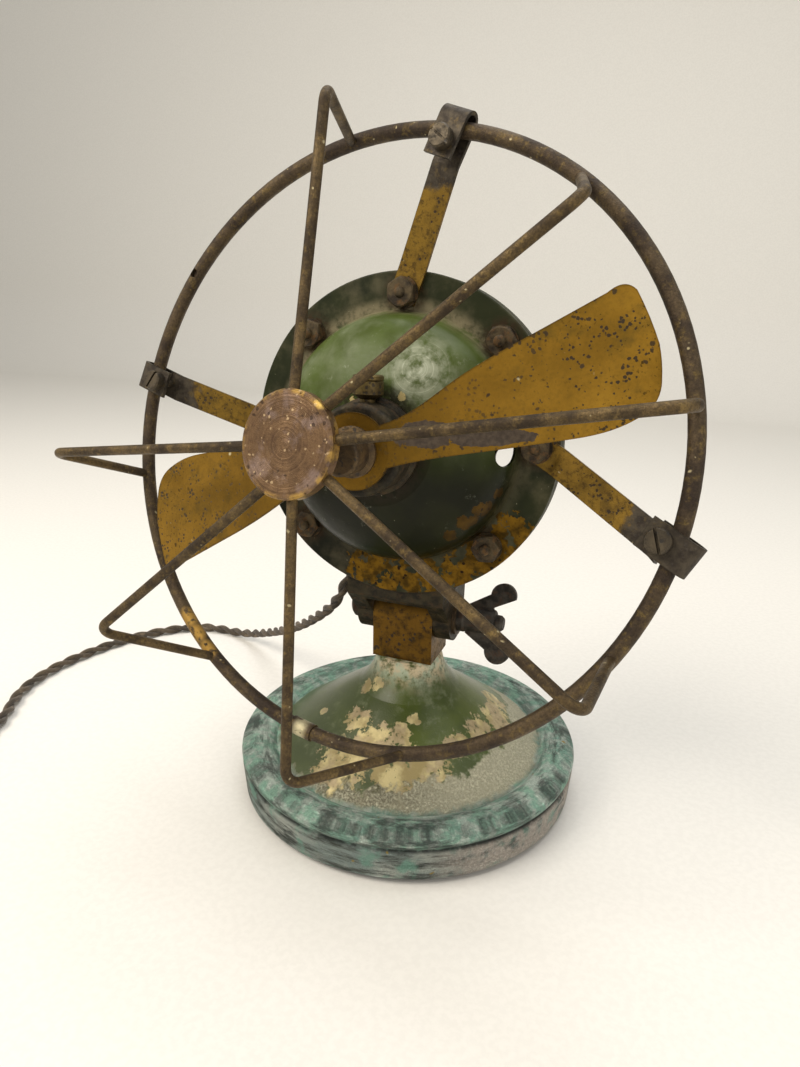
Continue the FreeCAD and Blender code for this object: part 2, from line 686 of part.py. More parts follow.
def make_rotor(nose, tail, end, middle):
    """Shaft, armature, commutator, collars and the blade's hub."""
    shaft, half = S.shaft_radius, S.armature_length / 2
    plane = S.blade_plane
    node("shaft", turned("shaft", [
        (0, end + 2.4), (shaft - 0.6, end + 2.4), (shaft, end + 3), (shaft, plane + 9),
        (0, plane + 9)]), MOTOR)
    fit = shaft + 0.02
    armature = S.core_bore - S.air_gap
    core = ring("armature_stack", fit, armature, middle - half, middle + half)
    slots = copies("armature_slots", rod("armature_slot", 2.3, half * 2 + 4),
                   spaced(12, armature - 2.8, middle - half - 2))
    node("armature_core", cut("armature_core", core, slots), MOTOR)
    outer = S.winding_radius + 2.4
    inner = S.commutator_radius - 2
    ends = [
        turned("winding_front", [
            (fit + 1, middle + half + 0.1), (outer, middle + half + 0.1), (outer, middle + half + 3),
            (outer - 2, middle + half + 6.4, "by"), (outer - 7, middle + half + 7.8),
            (fit + 1, middle + half + 7.8)]),
        turned("winding_rear", [
            (fit + 1, middle - half - 8), (inner, middle - half - 8), (outer - 4, middle - half - 6),
            (outer - 0.8, middle - half - 4.4, "by"), (outer, middle - half - 2),
            (outer, middle - half - 0.1), (fit + 1, middle - half - 0.1)])]
    wires = copies("winding_wires", rod("winding_wire", 1.9, half * 2 + 2),
                   spaced(12, armature - 2.8, middle - half - 1))
    node("armature_windings", fused("armature_windings", *ends, wires), MOTOR)
    drum = commutator_middle()
    drum_half = S.commutator_length / 2
    segments = ring("commutator", fit, S.commutator_radius, drum - drum_half, drum + drum_half)
    node("commutator", segments, MOTOR)
    collars = [ring("front_collar", fit, shaft + 4, nose - 7.4, nose - 4.9),
               ring("rear_collar", fit, shaft + 4, tail + 4.9, drum - drum_half - 0.2)]
    group = doc.addObject("Part::Compound", "thrust_collars_group")
    group.Links = collars
    node("thrust_collars", group, MOTOR)

    sheet_low = plane - S.blade_wall / 2
    sheet_high = plane + S.blade_wall / 2
    node("blade_hub", turned("blade_hub", [
        (fit, S.boss_front + 0.4), (shaft + 3, S.boss_front + 0.4), (shaft + 3, sheet_low - 1.8),
        (S.hub_radius - 1.5, sheet_low - 1.6), (S.hub_radius - 1.2, sheet_low - 0.03),
        (shaft + 2, sheet_low - 0.03), (shaft + 2, sheet_high + 2.4), (fit, sheet_high + 2.4)]), MOTOR)
    cap = plane + 13.5
    node("hub_nut", turned("hub_nut", [
        (shaft + 2.05, sheet_high + 0.03), (shaft + 6, sheet_high + 0.03), (shaft + 6, sheet_high + 1.4),
        (shaft + 4, sheet_high + 2.2), (shaft + 4, cap - 1.2), (shaft + 3.6, cap - 0.4, "by"),
        (shaft + 2.8, cap), (0, cap), (0, plane + 9.1), (fit, plane + 9.1), (fit, sheet_high + 2.5),
        (shaft + 2.05, sheet_high + 2.5)]), MOTOR)


def blade_height(along, across):
    """How far the blade's middle surface stands behind the hub's plane. The blade is pitched about 16
    degrees, its upper edge forward, and raked back towards the tips."""
    reach = float(S.blade_reach)
    flat = float(S.hub_radius)
    out = max(0.0, (abs(along) - flat * 0.93) / (reach * 0.92 - flat * 0.93))
    grow = min(1.0, max(0.0, (abs(along) - flat * 0.93) / (reach * 0.3)))
    grow = grow * grow * (3 - 2 * grow)
    side = 1 if along >= 0 else -1
    middle = 27 / 114.3 * reach * min(1.0, abs(along) / (reach * 0.92))
    return -16.5 / 114.3 * reach * out + 0.289 * grow * (side * across - middle)


def make_blade():
    """One sheet with two blades: the outline pressed up through the curved middle surface."""
    k = float(S.blade_reach) / 114.3
    flat = float(S.hub_radius)
    upper = [(9, 9.1), (21, 12.5), (40.6, 23.6), (71.2, 38.6), (94, 49)]
    corner = [(94, 49), (100.5, 50.9), (104.6, 47.2)]
    tip = [(104.6, 47.2), (109.9, 31.4), (110.6, 19.5)]
    toe = [(110.6, 19.5), (108.4, 11.4), (102.5, 6.3)]
    lower = [(102.5, 6.3), (90.8, 1.8), (74.5, -0.4), (51.2, -2.5), (24.1, -4.8), (10.9, -7.3)]

    def spline(points):
        curve = Part.BSplineCurve()
        curve.interpolate([V(x * k, y * k, 0) for x, y in points])
        return curve.toShape()

    half = [spline(edge) for edge in (upper, corner, tip, toe, lower)]
    turn = place(turn=180).toMatrix()
    other = [edge.transformGeometry(turn) for edge in half]
    waists = [Part.makeLine(V(10.9 * k, -7.3 * k, 0), V(-9 * k, -9.1 * k, 0)),
              Part.makeLine(V(-10.9 * k, 7.3 * k, 0), V(9 * k, 9.1 * k, 0))]
    face = Part.Face(Part.Wire(half + [waists[0]] + other + [waists[1]]))
    deep = 60
    prism = face.extrude(V(0, 0, deep * 2)).common(Part.makeCylinder(float(S.blade_reach), deep * 2))
    prism = prism.fuse(Part.makeCylinder(flat, deep * 2))
    prism.translate(V(0, 0, -deep))
    length, width = 118 * k, 58 * k
    columns, rows = 26, 9
    grid = [[V(a, b, blade_height(a, b) - float(S.blade_wall) / 2)
             for b in (width * (2 * j / (rows - 1) - 1) for j in range(rows))]
            for a in (length * (2 * i / (columns - 1) - 1) for i in range(columns))]
    surface = Part.BSplineSurface()
    surface.interpolate(grid)
    sheet = surface.toShape().extrude(V(0, 0, float(S.blade_wall)))
    bore = Part.makeCylinder(float(S.shaft_radius) + 2.05, deep * 2, V(0, 0, -deep))
    half_wall = float(S.blade_wall) / 2
    seat = flat - 0.8
    above = Part.makeCylinder(seat, deep, V(0, 0, half_wall))
    under = Part.makeCylinder(seat, deep, V(0, 0, -half_wall - deep))
    flat_hub = Part.makeCylinder(flat - 0.4, half_wall * 2, V(0, 0, -half_wall))
    blade = sheet.common(prism).cut(above).cut(under).fuse(flat_hub).cut(bore)
    solid("fan_blade", blade, MOTOR.multiply(place(z=S.blade_plane, turn=S.blade_turn)))


def make_brushes():
    """Two carbon brushes in their holders, each with its spring and screwed cap."""
    play = S.brush_radius + S.brush_play
    holder_low = S.commutator_radius + 2
    holder_high = S.dome_radius - 2.5
    brush_end = S.commutator_radius + 13
    holder = ring("brush_holder", play, S.holder_radius, holder_low, holder_high)
    cap = turned("brush_cap", [
        (0, holder_high - 4), (play - 0.15, holder_high - 4), (play - 0.15, holder_high + 0.05),
        (S.cap_radius, holder_high + 0.05), (S.cap_radius, holder_high + 3.6),
        (S.cap_radius - 1, holder_high + 4.6), (0, holder_high + 4.6)])
    frames = [brush_frame(a) for a in BRUSH_ANGLES]
    node("brush_holders", copies("brush_holders", holder, frames), MOTOR)
    node("brush_caps", copies("brush_caps", cap, frames), MOTOR)
    for name, frame in zip(("upper", "lower"), frames):
        brush = turned(f"brush_{name}", [
            (0, S.commutator_radius + 0.05), (S.brush_radius, S.commutator_radius + 0.05),
            (S.brush_radius, brush_end), (0, brush_end)])
        node(f"brush_{name}", brush, MOTOR.multiply(frame))
        spring = ring(f"spring_{name}", play - 1.3, play - 0.3, brush_end + 0.1, holder_high - 4.1)
        node(f"brush_spring_{name}", spring, MOTOR.multiply(frame))


def rear_seat(name):
    """The space of the motor's rim and rear dome, a little larger, to fit what is seated on them."""
    back = -S.flange_depth
    dome = dome_section(S.dome_radius, -S.rear_dome, S.tail_radius, back - 2.2)
    grown = [(p[0] + 0.3, p[1]) + p[2:] for p in dome]
    return turned(name, [
        (0, 6), (S.flange_radius + 0.12, 6), (S.flange_radius + 0.12, back - 0.12),
        (S.dome_radius + 1.7, back - 0.12), (S.dome_radius + 1.7, back - 1.2)] + grown + [(0, back - 34)])


GLAND_LENGTH = 27


def make_gland():
    """Terminal block inside the rear housing and the tapered sleeve that the cord leaves through."""
    frame = gland_frame()
    block_shape = block("terminal_block", 9, 9, 12, frame.multiply(place(z=-26)))
    node("terminal_block", block_shape, MOTOR)
    mouth = S.cord_radius + 0.4
    sleeve = turned("gland_sleeve", [
        (S.cord_radius - 0.2, -4), (3.5, -4), (3.5, 3.9), (5.2, 5.6),
        (mouth + 0.7, GLAND_LENGTH), (mouth, GLAND_LENGTH), (S.cord_radius - 0.2, 8)])
    collar = ring("gland_collar", 3.4, 6.2, -5, 4.6)
    sleeve.Placement = collar.Placement = frame
    trimmed = cut("gland_collar", collar, rear_seat("gland_seat"))
    node("cord_gland", fused("cord_gland", sleeve, trimmed), MOTOR)
    out = MOTOR.multiply(frame)
    return out.multVec(V(0, 0, GLAND_LENGTH + 0.2)), out.multVec(V(0, 0, GLAND_LENGTH + 15))


# Yoke and tilt clamp -----------------------------------------------------------------------------

YOKE_NECK = 12  # half the width of the saddle's foot behind the flange


def make_yoke():
    """Two ears on the pivot bolt under a saddle that fits the motor's rim and rear dome."""
    middle_u, middle_s = pivot_in_motor.y, pivot_in_motor.z
    ear = float(S.tongue_depth) / 2
    width = S.tongue_width + (S.ear_gap + S.ear_thickness) * 2
    back = -float(S.flange_depth)
    saddle = padded("yoke", "YZ_Plane", [
        (middle_u, middle_s + ear), (-float(S.flange_radius) - 5.2, -2.4), (-60, -2.4), (-40, back - 26),
        (-72, middle_s - ear), (middle_u, middle_s - ear), (middle_u - ear, middle_s, "by")], width)
    seat = rear_seat("yoke_seat")
    centre = FreeCAD.Placement(V(0, middle_u, middle_s), FreeCAD.Rotation())
    gap = S.tongue_width + S.ear_gap * 2
    side = float(gap) / 2
    slot = rod("yoke_slot", S.tongue_depth / 2 + 0.4, gap,
               centre.multiply(place(-side, axis=(0, 1, 0), turn=90)))
    below = block("yoke_under", gap, 60, 90, centre.multiply(place(0, 9.5 - 30, -45)))
    hole = rod("yoke_bore", S.bolt_radius + 0.03, width + 4,
               centre.multiply(place(-float(width) / 2 - 2, axis=(0, 1, 0), turn=90)))
    waist = [block(f"yoke_waist_{side}", 16, 60, 60,
                   place(side * (8 + YOKE_NECK), -float(S.flange_radius) - 1.5 + 30, back - 60.2))
             for side in (-1, 1)]
    node("yoke", cut("yoke", saddle, seat, slot, below, hole, *waist), MOTOR)

    outer = float(width) / 2
    along = PIVOT.multiply(place(axis=(0, 1, 0), turn=90))
    bolt = S.bolt_radius
    shank = turned("knuckle_bolt", [
        (0, -outer - 5.4), (bolt + 3, -outer - 5.4), (bolt + 4.2, -outer - 4.2),
        (bolt + 4.2, -outer - 0.05),
        (bolt, -outer - 0.05), (bolt, outer + S.wing_length + 4), (bolt - 1.2, outer + S.wing_length + 5.4),
        (0, outer + S.wing_length + 5.4)])
    node("knuckle_bolt", shank, along)
    free = bolt + 0.05
    low = outer + 0.05
    washer = ring("clamp_washer", free, S.wing_barrel + 2.6, low, low + S.washer_thickness)
    node("clamp_washer", washer, along)
    start = low + S.washer_thickness + 0.03
    barrel = turned("wing_barrel", [
        (free, start), (S.wing_barrel + 0.6, start), (S.wing_barrel + 0.6, start + 3),
        (S.wing_barrel, start + 4), (S.wing_barrel, start + S.wing_length - 2),
        (S.wing_barrel - 0.6, start + S.wing_length - 0.6, "by"),
        (S.wing_barrel - 2, start + S.wing_length), (free, start + S.wing_length)])
    tip, lobe = S.wing_reach, 6
    foot_low, foot_high = start + 3, start + S.wing_length - 2
    out = foot_high + 6
    wings = padded("wing_plate", "XZ_Plane", [
        (0, foot_low), (bolt + 3, foot_low + 1), (tip - lobe, out - lobe * 1.3), (tip, out - 1, "by"),
        (tip - lobe * 1.2, out + lobe * 0.7), (bolt + 3, foot_high), (-bolt - 3, foot_high),
        (-tip + lobe * 1.2, out + lobe * 0.7), (-tip, out - 1, "by"), (-tip + lobe, out - lobe * 1.3),
        (-bolt - 3, foot_low + 1)], 3.6)
    bore = rod("wing_bore", free, S.wing_length + 30, place(z=start - 5))
    nut = cut("wing_nut", fused("wing_nut", barrel, wings), bore)
    node("wing_nut", nut, along.multiply(place(turn=-18)))


# Guard -------------------------------------------------------------------------------------------

# Each spoke: where it meets the ring (degrees), where it bends (degrees, and how far outside or inside
# the ring's wire), and where it enters the disc's edge (degrees about the disc's middle).
SPOKES = {
    "right": (12.5, 9.6, 5.2, 11.6),
    "upper_right": (55.4, 42.0, -6.2, 51),
    "top": (102.7, 94.0, -5.4, 96),
    "left": (192.4, 189.1, 8.6, 187),
    "lower_left": (237.4, 224.8, 6.0, 242),
    "bottom": (286.4, 275.3, 1.2, 280),
    "lower_right": (330.1, 327.7, 6.9, 329),
}
EMPTY_SOCKET = 146.6


def on_ring(angle, outside=0.0, forward=0.0):
    """A point near the guard's wire: degrees round it, outside its middle line, in front of its plane."""
    reach = float(S.blade_reach + S.tip_gap) + outside
    return V(reach * math.cos(math.radians(angle)), reach * math.sin(math.radians(angle)), forward)


def spoke_points(contact, bend, outside, entry):
    """Foot in the ring's wire, bend, and end in the disc's edge."""
    disc = V(float(S.disc_side), float(S.disc_drop), float(S.cage_depth))
    turn = math.radians(entry)
    rim = disc + V(math.cos(turn), math.sin(turn), 0) * (float(S.disc_radius) - 3)
    corner = on_ring(bend, outside, float(S.cage_depth) + 1)
    foot = on_ring(contact, 0, 0)
    start = foot + (corner - foot).normalize() * 1.2
    return [start, corner, rim + V(0, 0, 1.5)]


def make_guard():
    reach, wire = S.blade_reach + S.tip_gap, S.wire_radius
    spokes, sockets = {}, []
    bend = float(S.spoke_bend)
    for name, layout in SPOKES.items():
        points = spoke_points(*layout)
        spokes[name] = tube(points, [bend], S.spoke_radius)[1]
        sockets.append(tube(points, [bend], float(S.spoke_radius) + 0.03)[1])
    hole = on_ring(EMPTY_SOCKET)
    sockets.append(Part.makeCylinder(float(S.spoke_radius), 8, hole + V(0, 0, 0.8)))
    circle = Part.makeTorus(float(reach), float(wire))
    turn, half = float(S.ferrule_turn), float(S.ferrule_span) / 2
    arc = [on_ring(a) for a in (turn - half, turn, turn + half)]
    ferrule = tube(arc, [float(reach)], float(wire + S.ferrule_wall))[1]
    ring_shape = circle.fuse(ferrule)
    for socket in sockets:
        ring_shape = ring_shape.cut(socket)
    solid("guard_ring", ring_shape, GUARD)
    for name, shape in spokes.items():
        solid(f"guard_spoke_{name}", shape, GUARD)

    disc, thick, edge = float(S.disc_radius), float(S.disc_thickness), 0.8
    middle = V(float(S.disc_side), float(S.disc_drop), float(S.cage_depth) + 5.6 - thick)
    plate = Part.makeCylinder(disc, thick, middle)
    plate = plate.makeChamfer(edge, plate.Edges[:1])
    for socket in sockets[:-1]:
        plate = plate.cut(socket)
    solid("guard_disc", plate, GUARD)


# The straps: the stud under each (degrees), and the place of its loop on the ring (degrees).
STRAPS = {"top": (90, 81.5), "left": (180, 171.1), "right": (1.5, -9.7)}
# How far each clamp screw's slot is turned from upright (degrees).
SCREW_TURNS = {"top": 51, "left": -34, "right": 18}
# Where the right strap turns up, just outside the sweep of the blade: degrees about the shaft, and how
# far outside and behind the blade.
KNEE = (-13.9, 5.1, 22.5)


def section(middle, across, through):
    """A strap's section as a wire: middle, unit direction of its width, unit direction of its wall."""
    w, t = across * (float(S.strap_width) / 2), through * (float(S.strap_wall) / 2)
    corners = [middle + w + t, middle - w + t, middle - w - t, middle + w - t]
    return Part.makePolygon(corners + corners[:1])


def band(points, radii, across):
    """A strap swept along a bent path in one plane; across is the unit direction of its width."""
    path = bent_path(points, radii)
    along = (points[1] - points[0]).normalize()
    return path.makePipeShell([section(points[0], across, across.cross(along))], True, True)


def make_straps():
    """Flat straps from the motor's studs to the guard's ring, looped round its wire."""
    to_motor = MOTOR.inverse().multiply(GUARD)
    wall, wire = float(S.strap_wall), float(S.wire_radius)
    half = wire + float(S.loop_play) + wall / 2
    slack = float(S.strap_slack)
    inset = wire + float(S.screw_gap)
    round_end = float(S.strap_width) / 2
    foot_height = wall / 2 + 0.03
    screw_places = []
    for name, (stud_angle, loop_angle) in STRAPS.items():
        stud = place(turn=stud_angle).multVec(V(float(S.flange_radius - S.stud_inset), 0, 0))
        wire_middle = to_motor.multVec(on_ring(loop_angle))
        ahead = to_motor.Rotation.multVec(V(0, 0, 1))
        angle, outside, behind = KNEE
        knee = place(turn=angle).multVec(
            V(float(S.blade_reach) + outside, 0, float(S.blade_plane) - behind))
        level = (knee if name == "right" else wire_middle) - stud
        level.z = 0
        climb = level.Length
        level.normalize()
        across = level.cross(V(0, 0, 1))
        out = (level - ahead * level.dot(ahead)).normalize()
        loop_across = out.cross(ahead)

        def by_wire(outward, forward):
            return wire_middle + out * outward + ahead * forward

        behind_screw = 3.6 if name == "right" else round_end
        loop = [by_wire(-inset - behind_screw, -half), by_wire(slack + half, -half),
                by_wire(slack + half, half), by_wire(-inset - round_end, half)]
        start = stud - level * 3.6 + V(0, 0, foot_height)
        if name == "right":
            leave = stud + level * (climb * 0.15) + V(0, 0, foot_height)
            lower = band([start, leave, knee - V(0, 0, 4) - level * 3, knee], [6, 3], across)
            top = by_wire(-wire - float(S.loop_play) - wall / 2 - 0.1, -half)
            bridge = Part.makeLoft([
                section(knee, across, (level * 3 + V(0, 0, 4)).normalize().cross(across)),
                section(top, loop_across * 0.98, out)], True, True)
            strap = lower.fuse(bridge)
        else:
            leave = stud + level * 10 + V(0, 0, foot_height)
            lower = band([start, leave], [], across)
            bridge = Part.makeLoft([
                section(leave, across, V(0, 0, 1)), section(loop[0], loop_across, ahead)], True, True)
            strap = lower.fuse(bridge)
        strap = strap.fuse(band(loop, [half * 0.999, half * 0.999], loop_across))
        shank = float(S.stud_radius) + 0.15
        strap = strap.cut(Part.makeCylinder(shank, 12, stud - V(0, 0, 4)))
        screw_at = by_wire(-inset, 0)
        hole = Part.makeCylinder(1.85, 3 * half, screw_at - ahead * (1.5 * half), ahead)
        solid(f"strap_{name}", strap.cut(hole), MOTOR)
        upright = FreeCAD.Placement(screw_at, FreeCAD.Rotation(V(0, 0, 1), ahead))
        screw_places.append(upright.multiply(place(turn=SCREW_TURNS[name])))
    seat = half + wall / 2 + 0.03
    head, shank, top = S.screw_head, 1.8, seat + S.screw_rise
    screw = turned("clamp_screw", [
        (0, -seat + 0.1), (shank, -seat + 0.1), (shank, seat), (head, seat), (head, top - 0.7),
        (head - 0.5, top), (0, top)])
    slot = block("clamp_slot", 1.1, head * 2 + 2, 3, place(z=top - 1.5))
    node("clamp_screws", copies("clamp_screws", cut("clamp_screw", screw, slot), screw_places), MOTOR)


# Cord --------------------------------------------------------------------------------------------

# Where the cord goes after the sleeve, chosen by hand: down to the table and away to the left.
CORD_ROUTE = [
    (-44.5, 7, 86.5), (-59, 17.5, 72), (-88, 41, 48.5), (-127, 76.5, 22), (-166, 100, 3.1),
    (-198, 101, 3.1), (-220, 86, 3.1), (-238, 62, 3.1), (-249, 32, 3.1), (-254, 2, 3.1),
    (-249, -27, 3.1), (-234, -50, 3.1), (-226.4, -70.2, 3.1),
]
COIL_MIDDLE = (-270.7, -91.3)
PLUG_ENTRY = (-319.7, -97.9)
PLUG_TURN = 45


def make_cord(gland_tip, straight_out):
    """The cord's free run to the coil, the coil as one solid, and a plain round two-pin plug."""
    points = [gland_tip, straight_out] + [V(*p) for p in CORD_ROUTE]
    radii = []
    for before, corner, after in zip(points, points[1:], points[2:]):
        turn = (corner - before).getAngle(after - corner)
        shorter = min((corner - before).Length, (after - corner).Length)
        radii.append(0.45 * shorter / math.tan(turn / 2))
    radius = float(S.cord_radius)
    path, cord = tube(points, radii, radius)
    print("cord: tightest bend %.1f mm, run %.1f mm" % (min(radii), path.Length))
    print("cord: bend radii", " ".join("%.0f" % r for r in radii))
    volume = math.pi * radius ** 2 * path.Length
    print("cord: volume %.1f, section times length %.1f" % (cord.Volume, volume))
    solid("cord_tube", cord)

    low, high = as_size(0.05), S.cord_radius * 4.1
    inner, outer = S.cord_radius * 6.8, S.cord_radius * 15.2
    round_off = S.cord_radius
    coil = turned("cord_coil", [
        (inner + round_off, low), (outer - round_off, low), (outer, low + round_off),
        (outer, high - round_off), (outer - round_off, high), (inner + round_off, high),
        (inner, high - round_off), (inner, low + round_off)])
    node("cord_coil", coil, place(*COIL_MIDDLE))
    plug_radius = 13.5
    body = turned("plug_body", [
        (0, 0), (4.6, 0), (5.2, 9), (9.5, 15), (plug_radius, 20), (plug_radius, 33), (plug_radius - 1, 34),
        (0, 34)])
    pins = copies("plug_pins", turned("plug_pin", [(0, 30), (2.4, 30), (2.4, 50), (1.4, 52), (0, 52)]),
                  [place(6.4, 0), place(-6.4, 0)])
    lying = place(*PLUG_ENTRY, plug_radius + 0.05, (0, 0, 1), PLUG_TURN)
    lying = lying.multiply(place(axis=(1, 0, 0), turn=-90))
    node("cord_plug", fused("cord_plug", body, pins), lying)


# Put together ------------------------------------------------------------------------------------

make_base()
nose, tail = make_housings()
rear_end = make_bearings(nose, tail)
core_middle = make_field()
make_rotor(nose, tail, rear_end, core_middle)
make_blade()
make_brushes()
cord_exit = make_gland()
make_yoke()
make_guard()
make_straps()
make_cord(*cord_exit)
doc.recompute()

faults = [f"{thing.Label}: {thing.State}" for thing in doc.Objects
          if "Invalid" in thing.State or "Error" in thing.State]
faults += [f"{name}: empty or not valid" for name, thing in nodes.items()
           if thing.Shape.isNull() or not thing.Shape.isValid() or not thing.Shape.Solids]
if faults:
    raise SystemExit("\n".join(faults))
os.makedirs("parts", exist_ok=True)
for name, thing in nodes.items():
    thing.Shape.exportStep(f"parts/{name}.step")
print(len(nodes), "nodes written")
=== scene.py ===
"""Looks for the antique two-blade desk fan: worn paint, aged brass, dark iron and cloth-covered cord.

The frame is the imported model's: metres, +Z up, the fan blows towards -Y. Patterns and places below are
in millimetres.
"""
import math

import bpy
from mathutils import Matrix, Vector


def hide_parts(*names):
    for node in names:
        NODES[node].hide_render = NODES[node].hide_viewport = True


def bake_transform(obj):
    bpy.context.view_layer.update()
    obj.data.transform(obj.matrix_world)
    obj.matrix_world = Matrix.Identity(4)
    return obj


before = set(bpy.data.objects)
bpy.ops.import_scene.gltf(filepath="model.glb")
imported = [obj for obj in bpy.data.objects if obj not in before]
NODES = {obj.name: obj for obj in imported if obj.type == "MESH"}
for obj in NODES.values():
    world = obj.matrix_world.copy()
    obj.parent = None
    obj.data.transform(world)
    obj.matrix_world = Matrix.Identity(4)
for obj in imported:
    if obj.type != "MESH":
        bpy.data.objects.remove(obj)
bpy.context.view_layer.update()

MM = 0.001

# Where the motor's frame stands in the fan's, in millimetres, and how far its shaft points up.
MOTOR_MIDDLE = (0, -20.95, 182.5)
MOTOR_TILT = math.radians(3.84)


# Camera and studio -------------------------------------------------------------------------------

def aim(yaw, pitch, roll):
    """A camera's turn: yaw about +Z, pitch down, roll clockwise, all in radians."""
    ahead = Vector((-math.sin(yaw) * math.cos(pitch), math.cos(yaw) * math.cos(pitch), -math.sin(pitch)))
    right = Vector((math.cos(yaw), math.sin(yaw), 0))
    up = right.cross(ahead)
    side = right * math.cos(roll) + up * math.sin(roll)
    top = up * math.cos(roll) - right * math.sin(roll)
    return Matrix((side, top, -ahead)).transposed().to_4x4()


# Camera: metres and radians, lens and sensor in millimetres.
CAMERA_PLACE = (0.1167, -0.3227, 0.2431)
CAMERA_YAW, CAMERA_PITCH, CAMERA_ROLL = 0.365, 0.312, 0.019
FOCAL_LENGTH = 24.97
SENSOR_HEIGHT = 36
NEAREST_SEEN = 0.005


def make_camera():
    lens = bpy.data.cameras.new("camera")
    lens.sensor_fit = "VERTICAL"
    lens.sensor_height = SENSOR_HEIGHT
    lens.lens = FOCAL_LENGTH
    lens.clip_start = NEAREST_SEEN
    camera = bpy.data.objects.new("camera", lens)
    camera.matrix_world = Matrix.Translation(CAMERA_PLACE) @ aim(CAMERA_YAW, CAMERA_PITCH, CAMERA_ROLL)
    bpy.context.scene.collection.objects.link(camera)
    bpy.context.scene.camera = camera


def add_mesh(name, points, faces):
    mesh = bpy.data.meshes.new(name)
    mesh.from_pydata([tuple(p) for p in points], [], faces)
    mesh.update()
    mesh.shade_smooth()
    thing = bpy.data.objects.new(name, mesh)
    bpy.context.scene.collection.objects.link(thing)
    return thing


# Soft lamps: place and what they point at in metres, width, height, watts and tint.
SOFTBOXES = {
    "key_softbox": ((-0.75, -0.75, 1.15), (0, 0, 0.15), 0.9, 0.7, 17, "#FFF6E8"),
    "fill_softbox": ((1.1, -0.7, 0.6), (0, 0, 0.15), 0.8, 0.9, 5, "#FFF9F0"),
    "top_softbox": ((0.1, 0.3, 1.4), (0, 0, 0.1), 1.2, 0.8, 9, "#FFFFFF"),
}
AIR_TINT = "#F4F1EA"
AIR_STRENGTH = 0.5


def softbox(name, place, target, wide, high, watts, tint):
    lamp = bpy.data.lights.new(name, "AREA")
    lamp.shape = "RECTANGLE"
    lamp.size, lamp.size_y = wide, high
    lamp.energy = watts
    lamp.color = colour(tint)[:3]
    thing = bpy.data.objects.new(name, lamp)
    thing.location = place
    thing.rotation_euler = (Vector(target) - Vector(place)).to_track_quat("-Z", "Y").to_euler()
    bpy.context.scene.collection.objects.link(thing)


def make_studio():
    """A pale floor that curves up into a wall, large soft lamps and an even pale world."""
    reach, side, corner, wall, steps = 1.6, 2.6, 0.25, 2.2, 16
    profile = [(-reach, 0.0)]
    for i in range(steps + 1):
        turn = math.pi / 2 * i / steps
        profile.append((reach - corner + corner * math.sin(turn), corner - corner * math.cos(turn)))
    profile.append((reach, wall))
    points = [(x, y, z) for y, z in profile for x in (-side, side)]
    faces = [(2 * i, 2 * i + 1, 2 * i + 3, 2 * i + 2) for i in range(len(profile) - 1)]
    sweep = add_mesh("studio_sweep", points, faces)
    sweep.data.materials.append(background_paper())

    for name, settings in SOFTBOXES.items():
        softbox(name, *settings)

    world = bpy.data.worlds.new("studio_air")
    world.use_nodes = True
    air = world.node_tree.nodes["Background"]
    air.inputs["Color"].default_value = colour(AIR_TINT)
    air.inputs["Strength"].default_value = AIR_STRENGTH
    bpy.context.scene.world = world
    bpy.context.scene.view_settings.view_transform = "Standard"


# Material tools ----------------------------------------------------------------------------------

SOFT = {"interpolation_type": "SMOOTHSTEP"}


def colour(code):
    """An sRGB hex colour as linear red, green, blue and 1."""
    parts = [int(code[i:i + 2], 16) / 255 for i in (1, 3, 5)]
    return tuple(c / 12.92 if c <= 0.04045 else ((c + 0.055) / 1.055) ** 2.4 for c in parts) + (1.0,)


